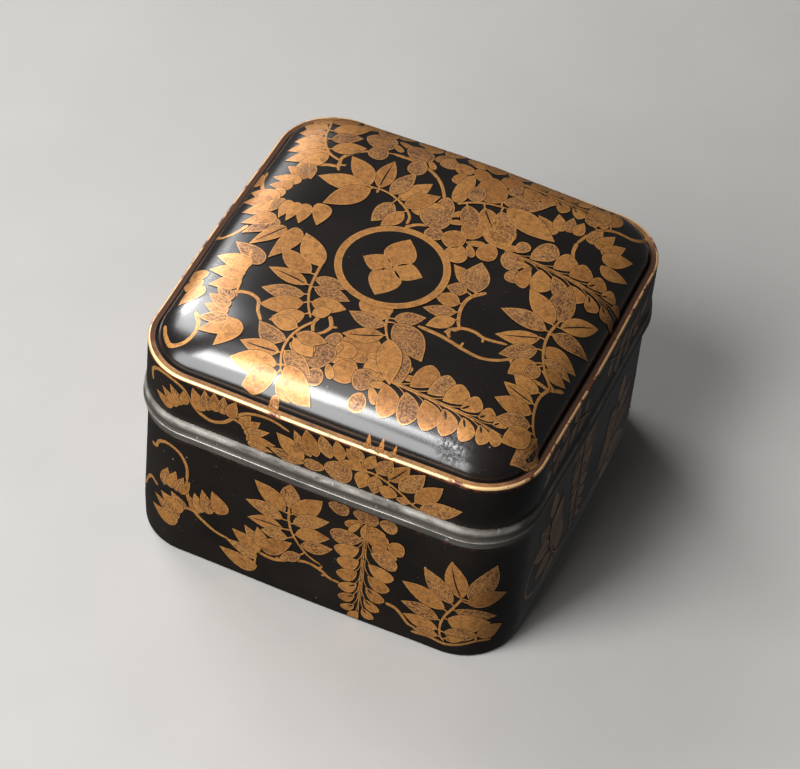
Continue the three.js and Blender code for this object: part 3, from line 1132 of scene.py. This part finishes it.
# Leaves and petals, a later one over an earlier: kind, base x, base y, tip x, tip y, width[, lean]
ROOF_LEAVES = [
    # Back left corner
    ("gold", -39.2, 40.5, -44.8, 44.5, 5.5),
    ("gold", -38.8, 37, -45.6, 38.8, 4.8),
    ("gold", -38.2, 35, -45.2, 34.6, 4.4),
    ("gold", -36.6, 32, -44.6, 30.6, 4.6),
    ("gold", -35.4, 29.6, -44.8, 26.6, 4.8),
    ("gold", -34, 27.8, -43.4, 22.2, 4.8),
    ("gold", -33.8, 27, -39.6, 20, 4.4),
    ("dusted", -37.2, 22.6, -34, 16.6, 4.4, -0.2),
    ("gold", -38.6, 40.8, -33, 47.4, 5.2),
    ("gold", -37, 36.8, -28.6, 43.6, 5.2),
    ("dusted", -36, 33.2, -28.8, 37, 4.4),
    ("gold", -34.2, 29.4, -26.4, 33.4, 4.4),
    ("gold", -40, 42, -40.6, 47.6, 4.2),
    # Spray above the medallion
    ("gold", -12, 19.8, -6.7, 28.8, 4.6),
    ("dusted", -14.4, 20.4, -11.8, 30.5, 4.2),
    ("slit", -17.8, 21.2, -18.3, 32.2, 4.6),
    ("gold", -20.2, 20.8, -28.5, 29, 5.2),
    ("gold", -21, 20.4, -33, 18.6, 5.2),
    ("gold", -19.4, 19.8, -27.8, 9.8, 6, -0.1),
    ("dusted", -12.6, 18, -14.8, 9.6, 4.6),
    ("gold", -9, 16.2, -12.2, 9.2, 3.8),
    ("gold", -9.6, 17.8, -3.1, 25.4, 4.6),
    # Spray behind the medallion, to the right
    ("dusted", 3.8, 25.6, 9.4, 18.6, 4.6),
    ("slit", 8, 26.8, 13.2, 20.4, 4.4),
    ("dusted", 12, 27.6, 18.4, 18.8, 5.4),
    ("dusted", 11, 31.2, 21.8, 36.2, 5.2),
    ("gold", 12.8, 29.4, 27.6, 24.2, 6.4, 0.15),
    ("gold", 37, 38, 36, 46, 3.8),
    ("gold", 35, 37, 30.6, 44.4, 4.6),
    ("gold", 34.6, 36.6, 34, 45, 4.2),
    ("dusted", 34, 35, 30.6, 39.6, 3.4),
    ("gold", -46, 12, -47.8, 18.5, 2.6),
    # Spray left of the medallion
    ("gold", -19, -10.4, -26.9, -1.5, 5.6),
    ("gold", -20.2, -13.6, -30, -8.6, 5),
    ("slit", -19.4, -17.4, -30, -16, 4),
    ("dusted", -18.6, -20.6, -28.8, -22.8, 4.6, 0.3),
    ("gold", -17.6, -23.2, -27, -28, 5.2),
    ("gold", -15.8, -26.4, -22.8, -31.6, 4.8),
    ("gold", -15.6, -31, -22.6, -31, 4.4),
    ("dusted", -16.4, -35.6, -24.6, -32.8, 4.6, 0.4),
    ("dusted", -18.6, -14.6, -10, -14.2, 3.6),
    ("dusted", -17.4, -17.4, -8, -17.8, 4.2),
    ("gold", -16, -22.2, -7.6, -20.6, 4.8),
    ("gold", -14.2, -25.8, -10.4, -22.4, 3.4),
    # Spray at the front left
    ("dusted", -15.4, -38.4, -7, -42, 4.2),
    ("gold", -14.9, -34.4, -8.6, -37.6, 4.2),
    ("gold", -14.8, -32.8, -7.2, -32.4, 4),
    ("slit", -16.4, -39.2, -26.4, -39.4, 4),
    ("gold", -15.6, -42.2, -27, -43.9, 5),
    ("gold", -14.6, -44, -21.8, -47.8, 4.8),
    ("gold", -13.4, -43.6, -9.4, -48, 4.4),
    ("gold", -13.6, -41.8, -4.2, -47.6, 5),
    # Below the medallion
    ("dusted", 2.6, -21, -7, -20.6, 4.4, 0.4),
    ("slit", 3.6, -24.2, -5.5, -28, 4.4),
    ("dusted", 3.6, -18.2, 10.2, -14.2, 4),
    ("dusted", 7.4, -27, 13, -36.6, 5.6, 0.3),
    ("dusted", 4.4, -19.4, 14.9, -27.8, 7, 0.2),
    ("gold", 5.2, -24.8, 11, -37.4, 5.6, 0.2),
    # Right of the medallion
    ("gold", 16.8, -0.4, 9, 5.4, 4.2, -0.2),
    ("dusted", 17.2, -1, 14.6, 9.2, 6.4, 0.3),
    ("dusted", 15.4, -1.8, 10.2, -2.2, 4),
    ("gold", 15.4, -6.2, 9, -6.4, 4.4),
    ("dusted", 15.8, -9.2, 8, -11.4, 3.6),
    ("gold", 16.6, -11.6, 11, -16.6, 4),
    # Right spray
    ("dusted", 38.6, 0.4, 36.4, 12.8, 6, 0.15),
    ("slit", 39.4, -1.2, 46.6, 6.2, 4.6),
    ("gold", 37.4, -1.4, 28.2, 6.6, 5.2),
    ("dusted", 36.8, -4, 24.6, -2.9, 5),
    ("slit", 36.4, -6.8, 26.6, -11.2, 4.4, 0.2),
    ("dusted", 37.2, -10.4, 29.8, -16.7, 4.6),
    ("gold", 38.6, -14.4, 34, -21.2, 4.6),
    ("dusted", 38.6, -4.4, 47.9, -3.4, 4.4),
    ("gold", 38.4, -9, 47.3, -9.8, 4.8),
    ("dusted", 39.8, -12.2, 47, -12.6, 3.4),
    ("gold", 41, -14.6, 46.8, -15, 3.2),
    ("dusted", 39.6, -14.8, 37.6, -20.4, 3.2),
    # Front right
    ("gold", 42.4, -21.6, 35.3, -20.2, 4.2, 0.3),
    ("slit", 42.4, -25.4, 34.2, -23.8, 3.8),
    ("gold", 43.2, -28, 34.1, -29.2, 4.8),
    ("dusted", 44.2, -31.2, 36.6, -34.2, 4.4),
    ("dusted", 46.6, -32.8, 44, -42.4, 4.4, 0.4),
    ("gold", 45, -32.8, 40.2, -39.4, 5),
]

ROOF_FANS = [
    # Fan at the back right
    ("gold", 26, 27.4, 20.4, 31.4, 3.4),
    ("gold", 27, 29.2, 24.6, 34.6, 3.2),
    ("dusted", 28.9, 30, 28.2, 35.3, 3),
    ("gold", 31, 30, 31.1, 35, 2.8),
    ("dusted", 34.8, 29.6, 36.2, 35.2, 3.2),
    ("gold", 37.2, 29.2, 39.3, 35.4, 3.4),
    ("gold", 39.2, 28, 42.8, 33.8, 3.6),
    ("gold", 40.2, 26.2, 45.8, 31.2, 4),
    ("gold", 40.6, 23.6, 47, 24.9, 3.6, -0.5),
    # Left fans
    ("gold", -35.6, 17.2, -41.6, 20, 3.6),
    ("gold", -36.6, 15, -43.4, 15.4, 3.4),
    ("gold", -37.6, 12.4, -43, 12.2, 3.4),
    ("gold", -38, 9.6, -42.2, 9, 3.2),
    ("gold", -39, 7, -46.6, 9.6, 4.4),
    ("gold", -40, 5.2, -46.8, 5.6, 3.8),
    ("gold", -38.8, 3, -45, 0.8, 4),
    ("gold", -37.4, 5.8, -41.4, 1.4, 3.6),
    ("dusted", -37, 7, -38.2, 1.8, 2.6),
    ("gold", -35.2, 6.8, -35.3, 0.5, 2.8),
    ("gold", -33, 6.8, -33.2, 0.2, 2.8),
    ("gold", -30.8, 7.2, -30, 0.6, 3.4),
    ("gold", -28.2, 8.6, -25.8, 1.9, 4.2, 0.4),
    ("gold", -36.4, 0.2, -43.2, -3.4, 4),
    ("dusted", -35, -1, -41.4, -7, 4),
    ("slit", -32.6, -2.6, -37.9, -10.4, 3.8),
    ("gold", -29.6, -2, -31.6, -13.2, 4.4, 0.35),
    ("dusted", -33, -15.4, -41.2, -10.4, 4.4, -0.2),
    ("gold", -35, -17.2, -43.6, -15.8, 4.6),
    ("gold", -35, -20.4, -43.2, -20.8, 4.4),
    ("gold", -34.4, -23.4, -41, -26, 4.4),
    ("dusted", -33.8, -29, -38.6, -26.2, 3),
    ("dusted", -33.6, -31.4, -39.4, -29, 3.2),
    ("gold", -33.2, -33.4, -39, -32.4, 3.4),
    ("dusted", -32.4, -35, -38.8, -36.6, 3.2),
    ("gold", -30.4, -35.4, -37.1, -40, 4.2, 0.3),
    ("gold", -29.6, -35.2, -31.8, -42.8, 4.2, 0.4),
    # Left shoulder
    ("gold", -44, -24, -47.4, -20.5, 4),
    ("gold", -43.2, -27, -47.6, -25.5, 4.2),
    ("gold", -42.2, -27.4, -45.2, -33.6, 4),
]

ROOF_ROUND_PETALS = [
    # Back edge
    ("gold", -31, 42, -27.6, 47.2, 4.8),
    ("dusted", -20.8, 42.6, -20, 47.6, 4.8),
    ("gold", -14.6, 45.6, -10.6, 41.4, 4.4),
    ("dusted", -10, 38, -5.6, 41.2, 4),
    ("gold", 0.8, 46.6, -1.2, 41.4, 5.2),
    ("dusted", 8.2, 42.8, 11.8, 47.2, 5.4),
    ("gold", 8, 37.4, 11.8, 42.2, 5),
    # Back left
    ("dusted", -28.5, 38.4, -20.6, 38.4, 6.8),
    ("dusted", -24, 40, -25, 47, 5.4),
    ("dusted", -23.2, 36.6, -23.2, 30.6, 4.6),
    ("gold", -21.4, 39, -18.2, 36.6, 1.8),
    ("gold", -20.6, 41, -16.6, 39.6, 1.8),
    ("dusted", -17.6, 40.4, -10.8, 36.2, 5.8),
    ("gold", -16.6, 43.4, -11, 46.6, 5),
    ("dusted", -12.4, 36, -12.4, 29.8, 4.4),
    ("gold", -10.8, 36.8, -8.5, 34, 1.7),
    ("dusted", -6.2, 41, -6.2, 36.2, 4.4),
    ("gold", -8.6, 42, -5.6, 47, 4.8),
    # Back middle
    ("gold", -4.6, 39.6, 0, 37, 4.4),
    ("gold", -2.6, 44.6, 2.8, 42.8, 5),
    ("gold", 0.6, 40.6, 4.6, 36.4, 4),
    ("gold", -1, 36.6, -2.2, 31.8, 3),
    ("gold", 0.8, 37, 0.8, 25.4, 4),
    ("gold", 5, 41, 4, 46.6, 5.4),
    ("gold", 5.4, 39, 8.6, 29.4, 7.2),
    ("dusted", 4.2, 34, 4.6, 27.8, 4),
    # Blossoms behind the medallion
    ("dusted", -1.6, 26, 0.2, 19, 4.4),
    ("gold", -7.6, 17.6, -0.2, 21.6, 4.8),
    ("dusted", -5.4, 18, 2.6, 17.6, 6.6),
    ("dusted", 0.4, 15, 0.6, 10.6, 4.4),
    ("gold", 1.6, 20, 4.4, 23.2, 1.7),
    ("gold", 1.8, 18, 5.6, 19.6, 1.7),
    ("gold", 5.6, 19.6, 11.2, 17.4, 6.4),
    ("gold", 2.4, 13.4, 8.4, 13, 6),
    ("gold", 7.8, 12, 8.2, 5.8, 5.4),
    ("gold", 9.4, 13.2, 11.9, 9.5, 1.9),
    ("gold", 8.6, 13.6, 13.2, 14.9, 1.9),
    ("gold", 12.6, 24.6, 16.8, 17.6, 6.8),
    ("gold", 11, 18.8, 18.6, 18.4, 5.6),
    ("gold", 14.4, 16, 14.6, 9.8, 4.8),
    ("gold", 16, 15.8, 20.4, 17.6, 1.8),
    ("dusted", 18.2, 14.6, 23.4, 11.4, 5.2),
    ("dusted", 23, 10.8, 23.2, 6.2, 3.8),
    ("gold", 22, 13.6, 26.2, 12.6, 1.6),
    # Below the medallion
    ("gold", -6, -16.6, 2.4, -17, 6.6),
    ("dusted", -6, -28.2, -6.2, -33.4, 4),
    ("gold", -1, -25.2, 1.6, -34.6, 9.8),
    ("gold", -4.6, -30.6, -0.6, -34.4, 4.8),
    ("gold", 2.8, -31, 5.6, -32, 3),
    ("gold", 3.6, -32.6, 8.8, -37.2, 5.4),
    ("gold", -3.6, -31.6, -5.2, -35, 1.7),
    ("gold", -5.2, -36.6, -0.8, -35.6, 1.8),
    ("dusted", -10.6, -34.6, -4.4, -37.6, 7),
    ("gold", -15, -32.8, -8.6, -33, 3.4),
    ("gold", -15.2, -36, -8.8, -36.2, 4),
    ("gold", 0, -34.4, -0.2, -41.2, 5.8),
    ("gold", -4.6, -37.8, -2.2, -41.2, 1.9),
    ("dusted", 2.4, -36.6, 7.2, -39.6, 5.8),
    ("dusted", 5.9, -41.6, 5.8, -46, 4),
    ("dusted", -6.1, -39.6, -6, -44, 4),
    ("gold", 7.2, -39.6, 10, -43, 2),
    ("gold", 6.6, -39, 10.2, -37.8, 1.8),
    ("gold", 12.2, -33.2, 13.6, -30.2, 1.8),
    ("gold", 12.6, -34, 15.6, -33.2, 1.7),
]

BACK_RACEME = [
    ("dusted", 12, 40.4, 11.6, 34.6, 4.2, 0.4),
    ("gold", 13.8, 40, 16.8, 34.8, 4.4, 0.5),
    ("gold", 18.4, 39.6, 21, 35.8, 4.4, 0.5),
    ("eye", 22.3, 39.6, 25, 35.2, 3.2, 0.5),
    ("eye", 26.5, 39.2, 29.4, 35.6, 3, 0.5),
    ("gold", 14.4, 41.6, 16, 47, 4.6, -0.5),
    ("gold", 19, 41.4, 20.8, 47, 4.4, -0.5),
    ("gold", 23.2, 41.2, 25, 46.4, 3.8, -0.5),
    ("gold", 27.2, 41, 28.6, 45.4, 3.2, -0.5),
    ("gold", 30.6, 40.4, 32.4, 43.6, 2.6, -0.5),
    ("eye", 30.2, 38.8, 32.8, 35.8, 2.8, 0.5),
    ("eye", 33.6, 38.4, 35.8, 35.8, 2.4, 0.5),
]

RIGHT_RACEME = [
    ("dusted", 20.6, 16.2, 22.2, 20.4, 3.4),
    ("dusted", 24.4, 16, 28, 23.4, 5.4, -0.3),
    ("gold", 30.6, 15.8, 32.4, 22.4, 5, -0.5),
    ("gold", 34.8, 15.6, 37.2, 21.3, 4.8, -0.5),
    ("eye", 39.7, 15.4, 41.8, 20.2, 3.8, -0.5),
    ("eye", 43.5, 15.1, 45.4, 18.8, 2.9, -0.5),
    ("gold", 46.6, 14.6, 47.8, 17.2, 1.8, -0.5),
    ("gold", 25.6, 13.2, 26.6, 5.8, 3.6, -0.4),
    ("gold", 28, 13.8, 29.6, 6.2, 5, 0.4),
    ("dusted", 31.6, 13.4, 35.2, 7.2, 4, 0.4),
    ("gold", 36.4, 13, 39, 8, 4.2, 0.5),
    ("eye", 40.9, 12.9, 42.8, 8.2, 3.4, 0.5),
    ("eye", 44.8, 12.8, 46.3, 9.2, 2.6, 0.5),
    ("gold", 47.2, 12.6, 47.9, 9.8, 1.6, 0.5),
]

FRONT_RACEME = [
    ("gold", 15.4, -35.6, 18, -27.6, 5.4, -0.4),
    ("dusted", 19.9, -35.6, 22.6, -28.6, 5.2, -0.5),
    ("gold", 23.9, -35.9, 26.4, -29.7, 5.2, -0.5),
    ("eye", 28.5, -36.2, 31, -31.2, 4, -0.5),
    ("eye", 33.1, -36.4, 35, -32.6, 3.4, -0.5),
    ("eye", 36.9, -36.6, 38.4, -33, 2.9, -0.5),
    ("gold", 10, -37.4, 12.8, -45, 5.2, 0.35),
    ("dusted", 15.2, -37.4, 18, -44.8, 5, 0.3),
    ("gold", 20, -37.5, 23.2, -44.2, 5.2, 0.4),
    ("eye", 25.1, -37.8, 27.6, -43.8, 4.4, 0.4),
    ("eye", 30, -38, 32.2, -43.4, 3.8, 0.4),
    ("eye", 34.2, -38, 36.2, -42.4, 3.2, 0.4),
    ("gold", 36.8, -37.8, 39.6, -41, 2.8, 0.3),
]

LEDGE_TIPS = [
    ("dusted", 11.6, -50.4, 11.2, -47.9, 1.8),
    ("dusted", 14.4, -50.4, 14.8, -47.8, 1.8),
    ("dusted", 17.4, -50.4, 18.2, -48, 1.6),
    ("dusted", -13.4, -48, -11.8, -50.5, 2.2),
]

# The pattern on the walls: distance along the outline from the middle of the front, and height

FRONT_VINES = [
    [(-45.5, 32), (-43.5, 32.8), (-42.4, 35.2), (-39.5, 37), (-36, 36), (-33.8, 32), (-33.5, 27)],
    [(-33.5, 27), (-33.2, 22), (-31, 17), (-28, 14.4), (-25, 12.7), (-21.5, 12)],
    [(-34.6, 16.6), (-33, 17.3), (-31, 17)],
    [(-42.2, 19.4), (-45, 20), (-47.2, 17.6), (-49.4, 13.4), (-53, 9.2), (-57, 7), (-59.5, 3)],
    [(-13.4, 11.6), (-10, 11.3), (-7.5, 12), (-4, 14), (0, 14.9), (3.4, 13.8), (5.6, 12.3), (8.4, 12)],
    [(20.4, 11), (23, 10.4), (25, 8.4), (26.6, 6.5), (28.8, 5.8)],
    [(27.6, 4), (32, 4.6), (36, 4), (40, 4.8), (44, 6.3), (48, 6)],
    [(-45, 55), (-45.4, 58), (-43, 60.4), (-39, 60.9), (-35.6, 59.6), (-33.6, 56.6), (-31.6, 53.6)],
    [(-31.6, 53.6), (-28, 52.1), (-24.6, 53.2), (-22, 56), (-19.4, 58.8), (-15.6, 60.2), (-11.6, 60.2),
     (-7.6, 58.8)],
]

FRONT_STALKS = [
    [(-13, 13.6), (-14.3, 11.2), (-14.2, 8.4), (-14.6, 5.8)],
    [(-6.3, 32), (-6.1, 27.5), (-5, 23.5), (-2.6, 19.8), (0, 17.4), (3, 16.2)],
    [(39.3, 22.3), (37.6, 18.6), (35.7, 14.6), (34.8, 10.6), (35.1, 7), (36.2, 5.2)],
    [(-22, 56), (-19.6, 54.9), (-18.2, 52.6), (-18.2, 50.4)],
    [(7.5, 54.4), (10, 54.8), (14, 55.5), (18, 54.2), (22, 51.8), (24.4, 49.8), (26.6, 48.8)],
]

FRONT_KNOTS = [
    (-31, 17, 15), (-31, 17.2, 120), (2.6, 14.4, 60), (4.6, 13, -150), (-9, 11.4, 60), (44, 6.4, 100),
]

FRONT_LEAVES = [
    # Spray in the middle of the body
    ("dusted", -6.2, 31.8, -6.2, 41, 4.8),
    ("gold", -7.4, 30, -15.8, 37, 5.2),
    ("gold", -5.4, 30.2, 2.1, 39, 5.2),
    ("dusted", -7.8, 27.2, -17.8, 29, 4.4),
    ("slit", -7.6, 23.8, -17, 23, 4.2),
    ("dusted", -6.2, 21.2, -13.4, 20.2, 3.8),
    ("dusted", -2.6, 16.8, -7.9, 12.6, 3.2),
    ("dusted", -5, 27, 4.2, 32.3, 4.4),
    ("gold", -4.2, 23.4, 4.7, 26.4, 4.6),
    ("dusted", -2.6, 20.2, 5.7, 23.2, 4),
    # Right spray on the body
    ("slit", 39, 22.2, 35.7, 34.6, 5.2, -0.1),
    ("dusted", 41, 22, 46.8, 34, 6.2, -0.1),
    ("dusted", 37, 19.6, 29, 29, 5.2),
    ("gold", 35.4, 16.8, 23.9, 21.3, 5.4),
    ("dusted", 34.2, 12.4, 24.2, 14, 4.4),
    ("gold", 34.2, 8.8, 25, 9.8, 4.2),
    ("dusted", 34.6, 6.4, 28, 5.4, 3, -0.2),
    ("gold", 40.4, 21, 50.6, 22.4, 5.2),
    ("dusted", 38, 17.6, 48.6, 14.6, 3.8),
    ("gold", 36.4, 13.6, 47.2, 12.6, 6.4),
    ("dusted", 36, 8.6, 44.6, 8.4, 4.6),
    ("gold", 36.2, 6.2, 41.2, 7, 2.2),
    ("gold", 44, 8.6, 50.4, 10.8, 5),
    # Lid wall, middle
    ("dusted", -3.2, 50.2, -12.6, 51, 3.5),
    ("gold", -3.4, 51.2, -10.8, 57.1, 4.8),
    ("dusted", -1.6, 53.2, -6.4, 60.2, 3.2),
    ("gold", -0.2, 54, -3.4, 61.9, 4.2),
    ("dusted", 3.3, 55.2, 0.4, 62.2, 3.6),
    ("gold", 5.6, 55.6, 4.4, 62.2, 3.2),
    ("gold", 10.6, 57.6, 7, 60.8, 3.4),
    ("dusted", 11.2, 58.2, 8, 62.2, 3.4),
    ("gold", 12.4, 56.4, 14.2, 61.8, 2.8),
    ("dusted", 15.2, 56, 18.6, 62.2, 4),
    ("slit", 18.2, 55, 23, 62.1, 4),
    ("dusted", 21, 53, 26.9, 61.3, 4.6),
    ("gold", 25.2, 50.9, 31.6, 59.1, 4.6),
    ("dusted", 26.4, 49.2, 36.8, 53.6, 4.8),
    ("gold", 12.2, 55, 11, 48.6, 3.8),
    ("dusted", 15, 54.8, 14.7, 48.4, 3.6),
    ("gold", 18.3, 53, 17.6, 48.5, 4.4),
    ("dusted", 22, 51, 22.2, 48.5, 3.2),
]

FRONT_FANS = [
    # Left clusters on the body
    ("dusted", -40.2, 22.6, -39, 28.6, 2.8),
    ("gold", -38.1, 22.8, -36.6, 28.8, 2.8),
    ("dusted", -36.2, 22.6, -34.4, 27.8, 2.4),
    ("gold", -34.8, 22.2, -32.7, 26.9, 2.2),
    ("dusted", -34.4, 16.6, -37.7, 21, 3.2),
    ("gold", -35, 15.4, -41, 18.8, 4.2),
    ("dusted", -35.8, 13, -43.2, 16.2, 3.4),
    ("gold", -36.2, 11.8, -43.9, 11.8, 4, 0.45),
    ("gold", -31, 17.8, -32.6, 22, 2.2),
    ("gold", -29.6, 18.2, -31.4, 23.8, 2.8),
    ("dusted", -27.4, 19, -29.4, 26, 3.2),
    ("gold", -24.8, 20.2, -26.8, 26.9, 4.2, -0.4),
    ("dusted", -13, 14, -17.7, 19.6, 3.6),
    ("gold", -14, 12.2, -20.9, 16.6, 4.4),
    ("dusted", -14.6, 9.8, -22.4, 12, 3.4),
    ("gold", -14.6, 6.2, -24, 8.3, 4.8, 0.4),
    ("gold", -12, 14, -14.3, 20.8, 3.8),
    ("gold", -12, 14, -4.9, 19.8, 4.8),
    # Lid wall, left
    ("gold", -38.4, 51.4, -43.2, 53.2, 2.6),
    ("gold", -37, 52.8, -41.2, 56.4, 2.6),
    ("dusted", -35.9, 54, -38.8, 58.8, 2.4),
    ("gold", -34.8, 54.6, -35.2, 58.8, 2.2),
    ("gold", -30.4, 54.8, -33, 60.8, 3.4),
    ("dusted", -28.9, 55.8, -29.8, 61.7, 2.8),
    ("gold", -26.8, 56.4, -27.3, 62, 2.9),
    ("dusted", -25, 56.5, -24.7, 62, 2.6),
    ("gold", -23, 56.4, -21.6, 61.8, 2.9),
    ("gold", -19.8, 55.2, -17.6, 58.9, 2.6),
    ("gold", -19, 54, -15, 58, 2.9),
    ("dusted", -18.4, 52.8, -12.6, 55.8, 2.8),
    ("gold", -17.6, 51.4, -10.8, 52.2, 2.9),
    ("dusted", -17.4, 49.9, -11.4, 49.5, 2.2),
]

FRONT_ROUND_PETALS = [
    ("dusted", 2, 51, -3.4, 50.4, 3.4),
    ("dusted", 1.8, 52, 9, 51.6, 6.4),
    ("gold", 12.8, 56.8, 5.4, 55, 2.4),
    ("dusted", 3.6, 39, 9, 38.6, 4.8),
    ("dusted", 10, 39, 16.6, 39, 5.2),
    ("dusted", 16.8, 38.6, 21.4, 38.6, 4.8),
    ("gold", 12.6, 36.4, 8.2, 33.6, 2.4),
    ("gold", 12, 36, 9.4, 31.6, 1.6),
    ("gold", 13.4, 36, 13.8, 30.8, 2.6),
    ("gold", 14, 36, 16.2, 33.4, 1.6),
    ("gold", 14.4, 36, 18.6, 34.4, 2),
    ("gold", 13.8, 32.6, 19.6, 31.6, 5.4),
    ("gold", 19.4, 31.6, 23.8, 31.4, 4.6),
    ("gold", 16.4, 30, 22, 27.8, 2.4),
    ("gold", 15.6, 29.6, 18.4, 28.6, 3.4),
]

HANGING_RACEME = [
    ("dusted", 13, 30.4, 4.6, 29, 5, 0.2),
    ("dusted", 15.4, 27, 22.2, 24.2, 4.6, 0.2),
    ("gold", 12.4, 27, 6, 24, 4.4, 0.4),
    ("gold", 12.6, 22.6, 7, 19.8, 4.2, 0.4),
    ("gold", 15, 22.6, 21.8, 20.2, 4.4, -0.4),
    ("gold", 12.4, 18.4, 7.2, 15.4, 3.8, 0.4),
    ("gold", 15.2, 18.4, 21, 15.6, 4, -0.4),
    ("eye", 12.6, 14, 8, 11, 3.2, 0.4),
    ("eye", 15, 14, 20, 11, 3.6, -0.4),
    ("eye", 12.4, 9.8, 8.2, 7.4, 2.8, 0.4),
    ("eye", 14.8, 9.6, 19, 6.8, 3, -0.4),
    ("eye", 12.5, 6.2, 9, 3.8, 2.4, 0.4),
    ("eye", 14.7, 6, 17.6, 3, 2.8, -0.4),
    ("gold", 13.3, 4, 11.2, 0.8, 2.6, 0.3),
]


# The blossom above the spike on a hidden side
HIDDEN_BLOSSOM = [
    ("dusted", -9.6, 38.8, -5.2, 37.6, 4.6),
    ("dusted", 5.6, 38.8, 1.2, 37.6, 4.6),
    ("gold", -6.4, 39.6, -1.6, 36, 4.8),
    ("gold", 2.4, 39.6, -2.4, 36, 4.8),
]


def draw_medallion(art):
    """A gold hoop around a dark disc, with a plain figure of four leaves."""
    x, y = MEDALLION
    lift = MEDALLION_LIFT
    art.disc(art.slits, x, y, MEDALLION_OUTER - 0.2, lift, 0.5)
    art.hoop(art.gold, x, y, MEDALLION_INNER, MEDALLION_OUTER, lift + 0.012, 0.6)
    art.hoop(art.lines, x, y, MEDALLION_OUTER - LINE, MEDALLION_OUTER, lift + 0.014, 0.6, RIDGE)
    art.hoop(art.lines, x, y, MEDALLION_INNER, MEDALLION_INNER + LINE, lift + 0.014, 0.6, RIDGE)
    for turn, length, width in MEDALLION_LEAVES:
        way = direction(turn)
        base = np.array(MEDALLION) + way * 0.2
        art.blade("gold", base, base + way * length, width, lift=lift + LAYER)


def draw_roof(art):
    for points in ROOF_VINES:
        art.vine(points)
    art.knots(ROOF_KNOTS)
    art.blades(ROOF_ROUND_PETALS, ROUND)
    art.raceme((12, 41), (36, 39.6), BACK_RACEME)
    art.raceme((18, 15.4), (48, 13.8), RIGHT_RACEME)
    art.raceme((6, -36), (40, -37.8), FRONT_RACEME)
    art.blades(ROOF_FANS, FAN)
    art.blades(ROOF_LEAVES)
    art.blades(LEDGE_TIPS, FAN)
    for points in ROOF_STALKS:
        art.stem(points)
    art.join_leaves()
    draw_medallion(art)


def draw_front(art):
    for points in FRONT_VINES:
        art.vine(points)
    art.knots(FRONT_KNOTS)
    art.blades(FRONT_ROUND_PETALS, ROUND)
    art.raceme((13.7, 36.5), (13.7, 1), HANGING_RACEME)
    art.blades(FRONT_FANS, FAN)
    art.blades(FRONT_LEAVES)
    for points in FRONT_STALKS:
        art.stem(points)
    art.join_leaves()


def draw_hidden_side(art, middle, left_corner, right_corner):
    """A side that the photograph hides: the same sprays, spikes and vines, set more simply.

    The corners next to the front side stay as bare as the photograph shows them.
    """

    def at(points):
        return [(middle + x, z) for x, z in points]

    if left_corner:
        art.vine(at([(-45, 26), (-40, 30), (-34, 27), (-32, 18), (-34, 9), (-24, 6), (-12, 7), (-4, 5)]))
        art.vine(at([(-44, 58), (-38, 53), (-30, 54.5)]))
        art.spray(at([(-34, 9), (-39, 13), (-42, 20)]), 3, 7.5, 3.8)
    else:
        art.vine(at([(-30, 22), (-33, 18), (-33, 11), (-24, 6), (-12, 7), (-4, 5)]))
        art.vine(at([(-31, 59), (-33, 56), (-30, 54.5)]))
    if right_corner:
        art.vine(at([(2, 6), (14, 6), (26, 4.5), (38, 8), (45, 6)]))
        art.vine(at([(28, 54), (36, 59), (43, 54)]))
        art.spray(at([(38, 8), (42, 14), (43, 22)]), 3, 7.5, 3.8)
    else:
        art.vine(at([(2, 6), (14, 6), (26, 4.5), (34, 9), (34, 15), (31, 18)]))
        art.vine(at([(28, 54), (32, 57), (30, 60)]))
    spike = []
    centre = middle - 2
    for step in range(7):
        size = 1 - step * 0.1
        drop = -4 * step
        kind = "gold" if step % 2 else "dusted"
        kind = "eye" if step > 3 else kind
        for way in (-1, 1):
            base = (centre + way * 0.9, 35 + drop)
            tip = (centre + way * (0.9 + 6.4 * size), 35 + (drop - 2.8))
            spike.append((kind, *base, *tip, 4.2 * size, -0.4 * way))
    art.raceme((centre, 38), (centre, 8), spike)
    blossom = []
    for kind, bx, by, tx, ty, width in HIDDEN_BLOSSOM:
        blossom.append((kind, middle + bx, by, middle + tx, ty, width))
    art.blades(blossom, ROUND)
    art.spray(at([(-12, 7), (-17, 12), (-20, 19), (-20.5, 28)]), 4, 9.5, 4.6)
    art.spray(at([(14, 6), (20, 10), (24, 17), (25, 26)]), 4, 9.5, 4.6)
    art.spray(at([(4, 60.5), (12, 55), (20, 52.5), (28, 54)]), 4, 5.4, 3)
    art.spray(at([(-6, 52), (-14, 56.5), (-22, 57), (-30, 54.5)]), 4, 5.4, 3)
    art.join_leaves()


def main():
    add_camera()
    for softbox in SOFTBOXES:
        add_softbox(*softbox)
    add_room()
    add_ground()
    lacquer = lacquer_finish()
    pewter = pewter_finish()
    finishes = {
        "lacquer": lacquer,
        "gold": gold_finish(
            "gold_powder", colour(210, 148, 80), colour(150, 96, 45), colour(100, 66, 38), 0.36
        ),
        "line": gold_finish(
            "raised_gold_line", colour(220, 160, 88), colour(170, 114, 58), colour(140, 98, 58), 0.34
        ),
        "dusted": dusted_finish(),
    }
    make_body(lacquer)
    make_body_band(pewter)
    make_lid_band(pewter)
    make_lid(lacquer)
    make_gilt_edge(gilt_edge_finish())
    roof = Ornament("roof", on_roof, roof_map, finishes, vein_width=0.55)
    draw_roof(roof)
    roof.build()
    walls = Ornament("walls", on_wall, wall_map, finishes, vein_width=0.9)
    draw_front(walls)
    draw_hidden_side(walls, PERIOD, left_corner=False, right_corner=True)
    draw_hidden_side(walls, 2 * PERIOD, left_corner=True, right_corner=True)
    draw_hidden_side(walls, 3 * PERIOD, left_corner=True, right_corner=False)
    walls.build()


main()
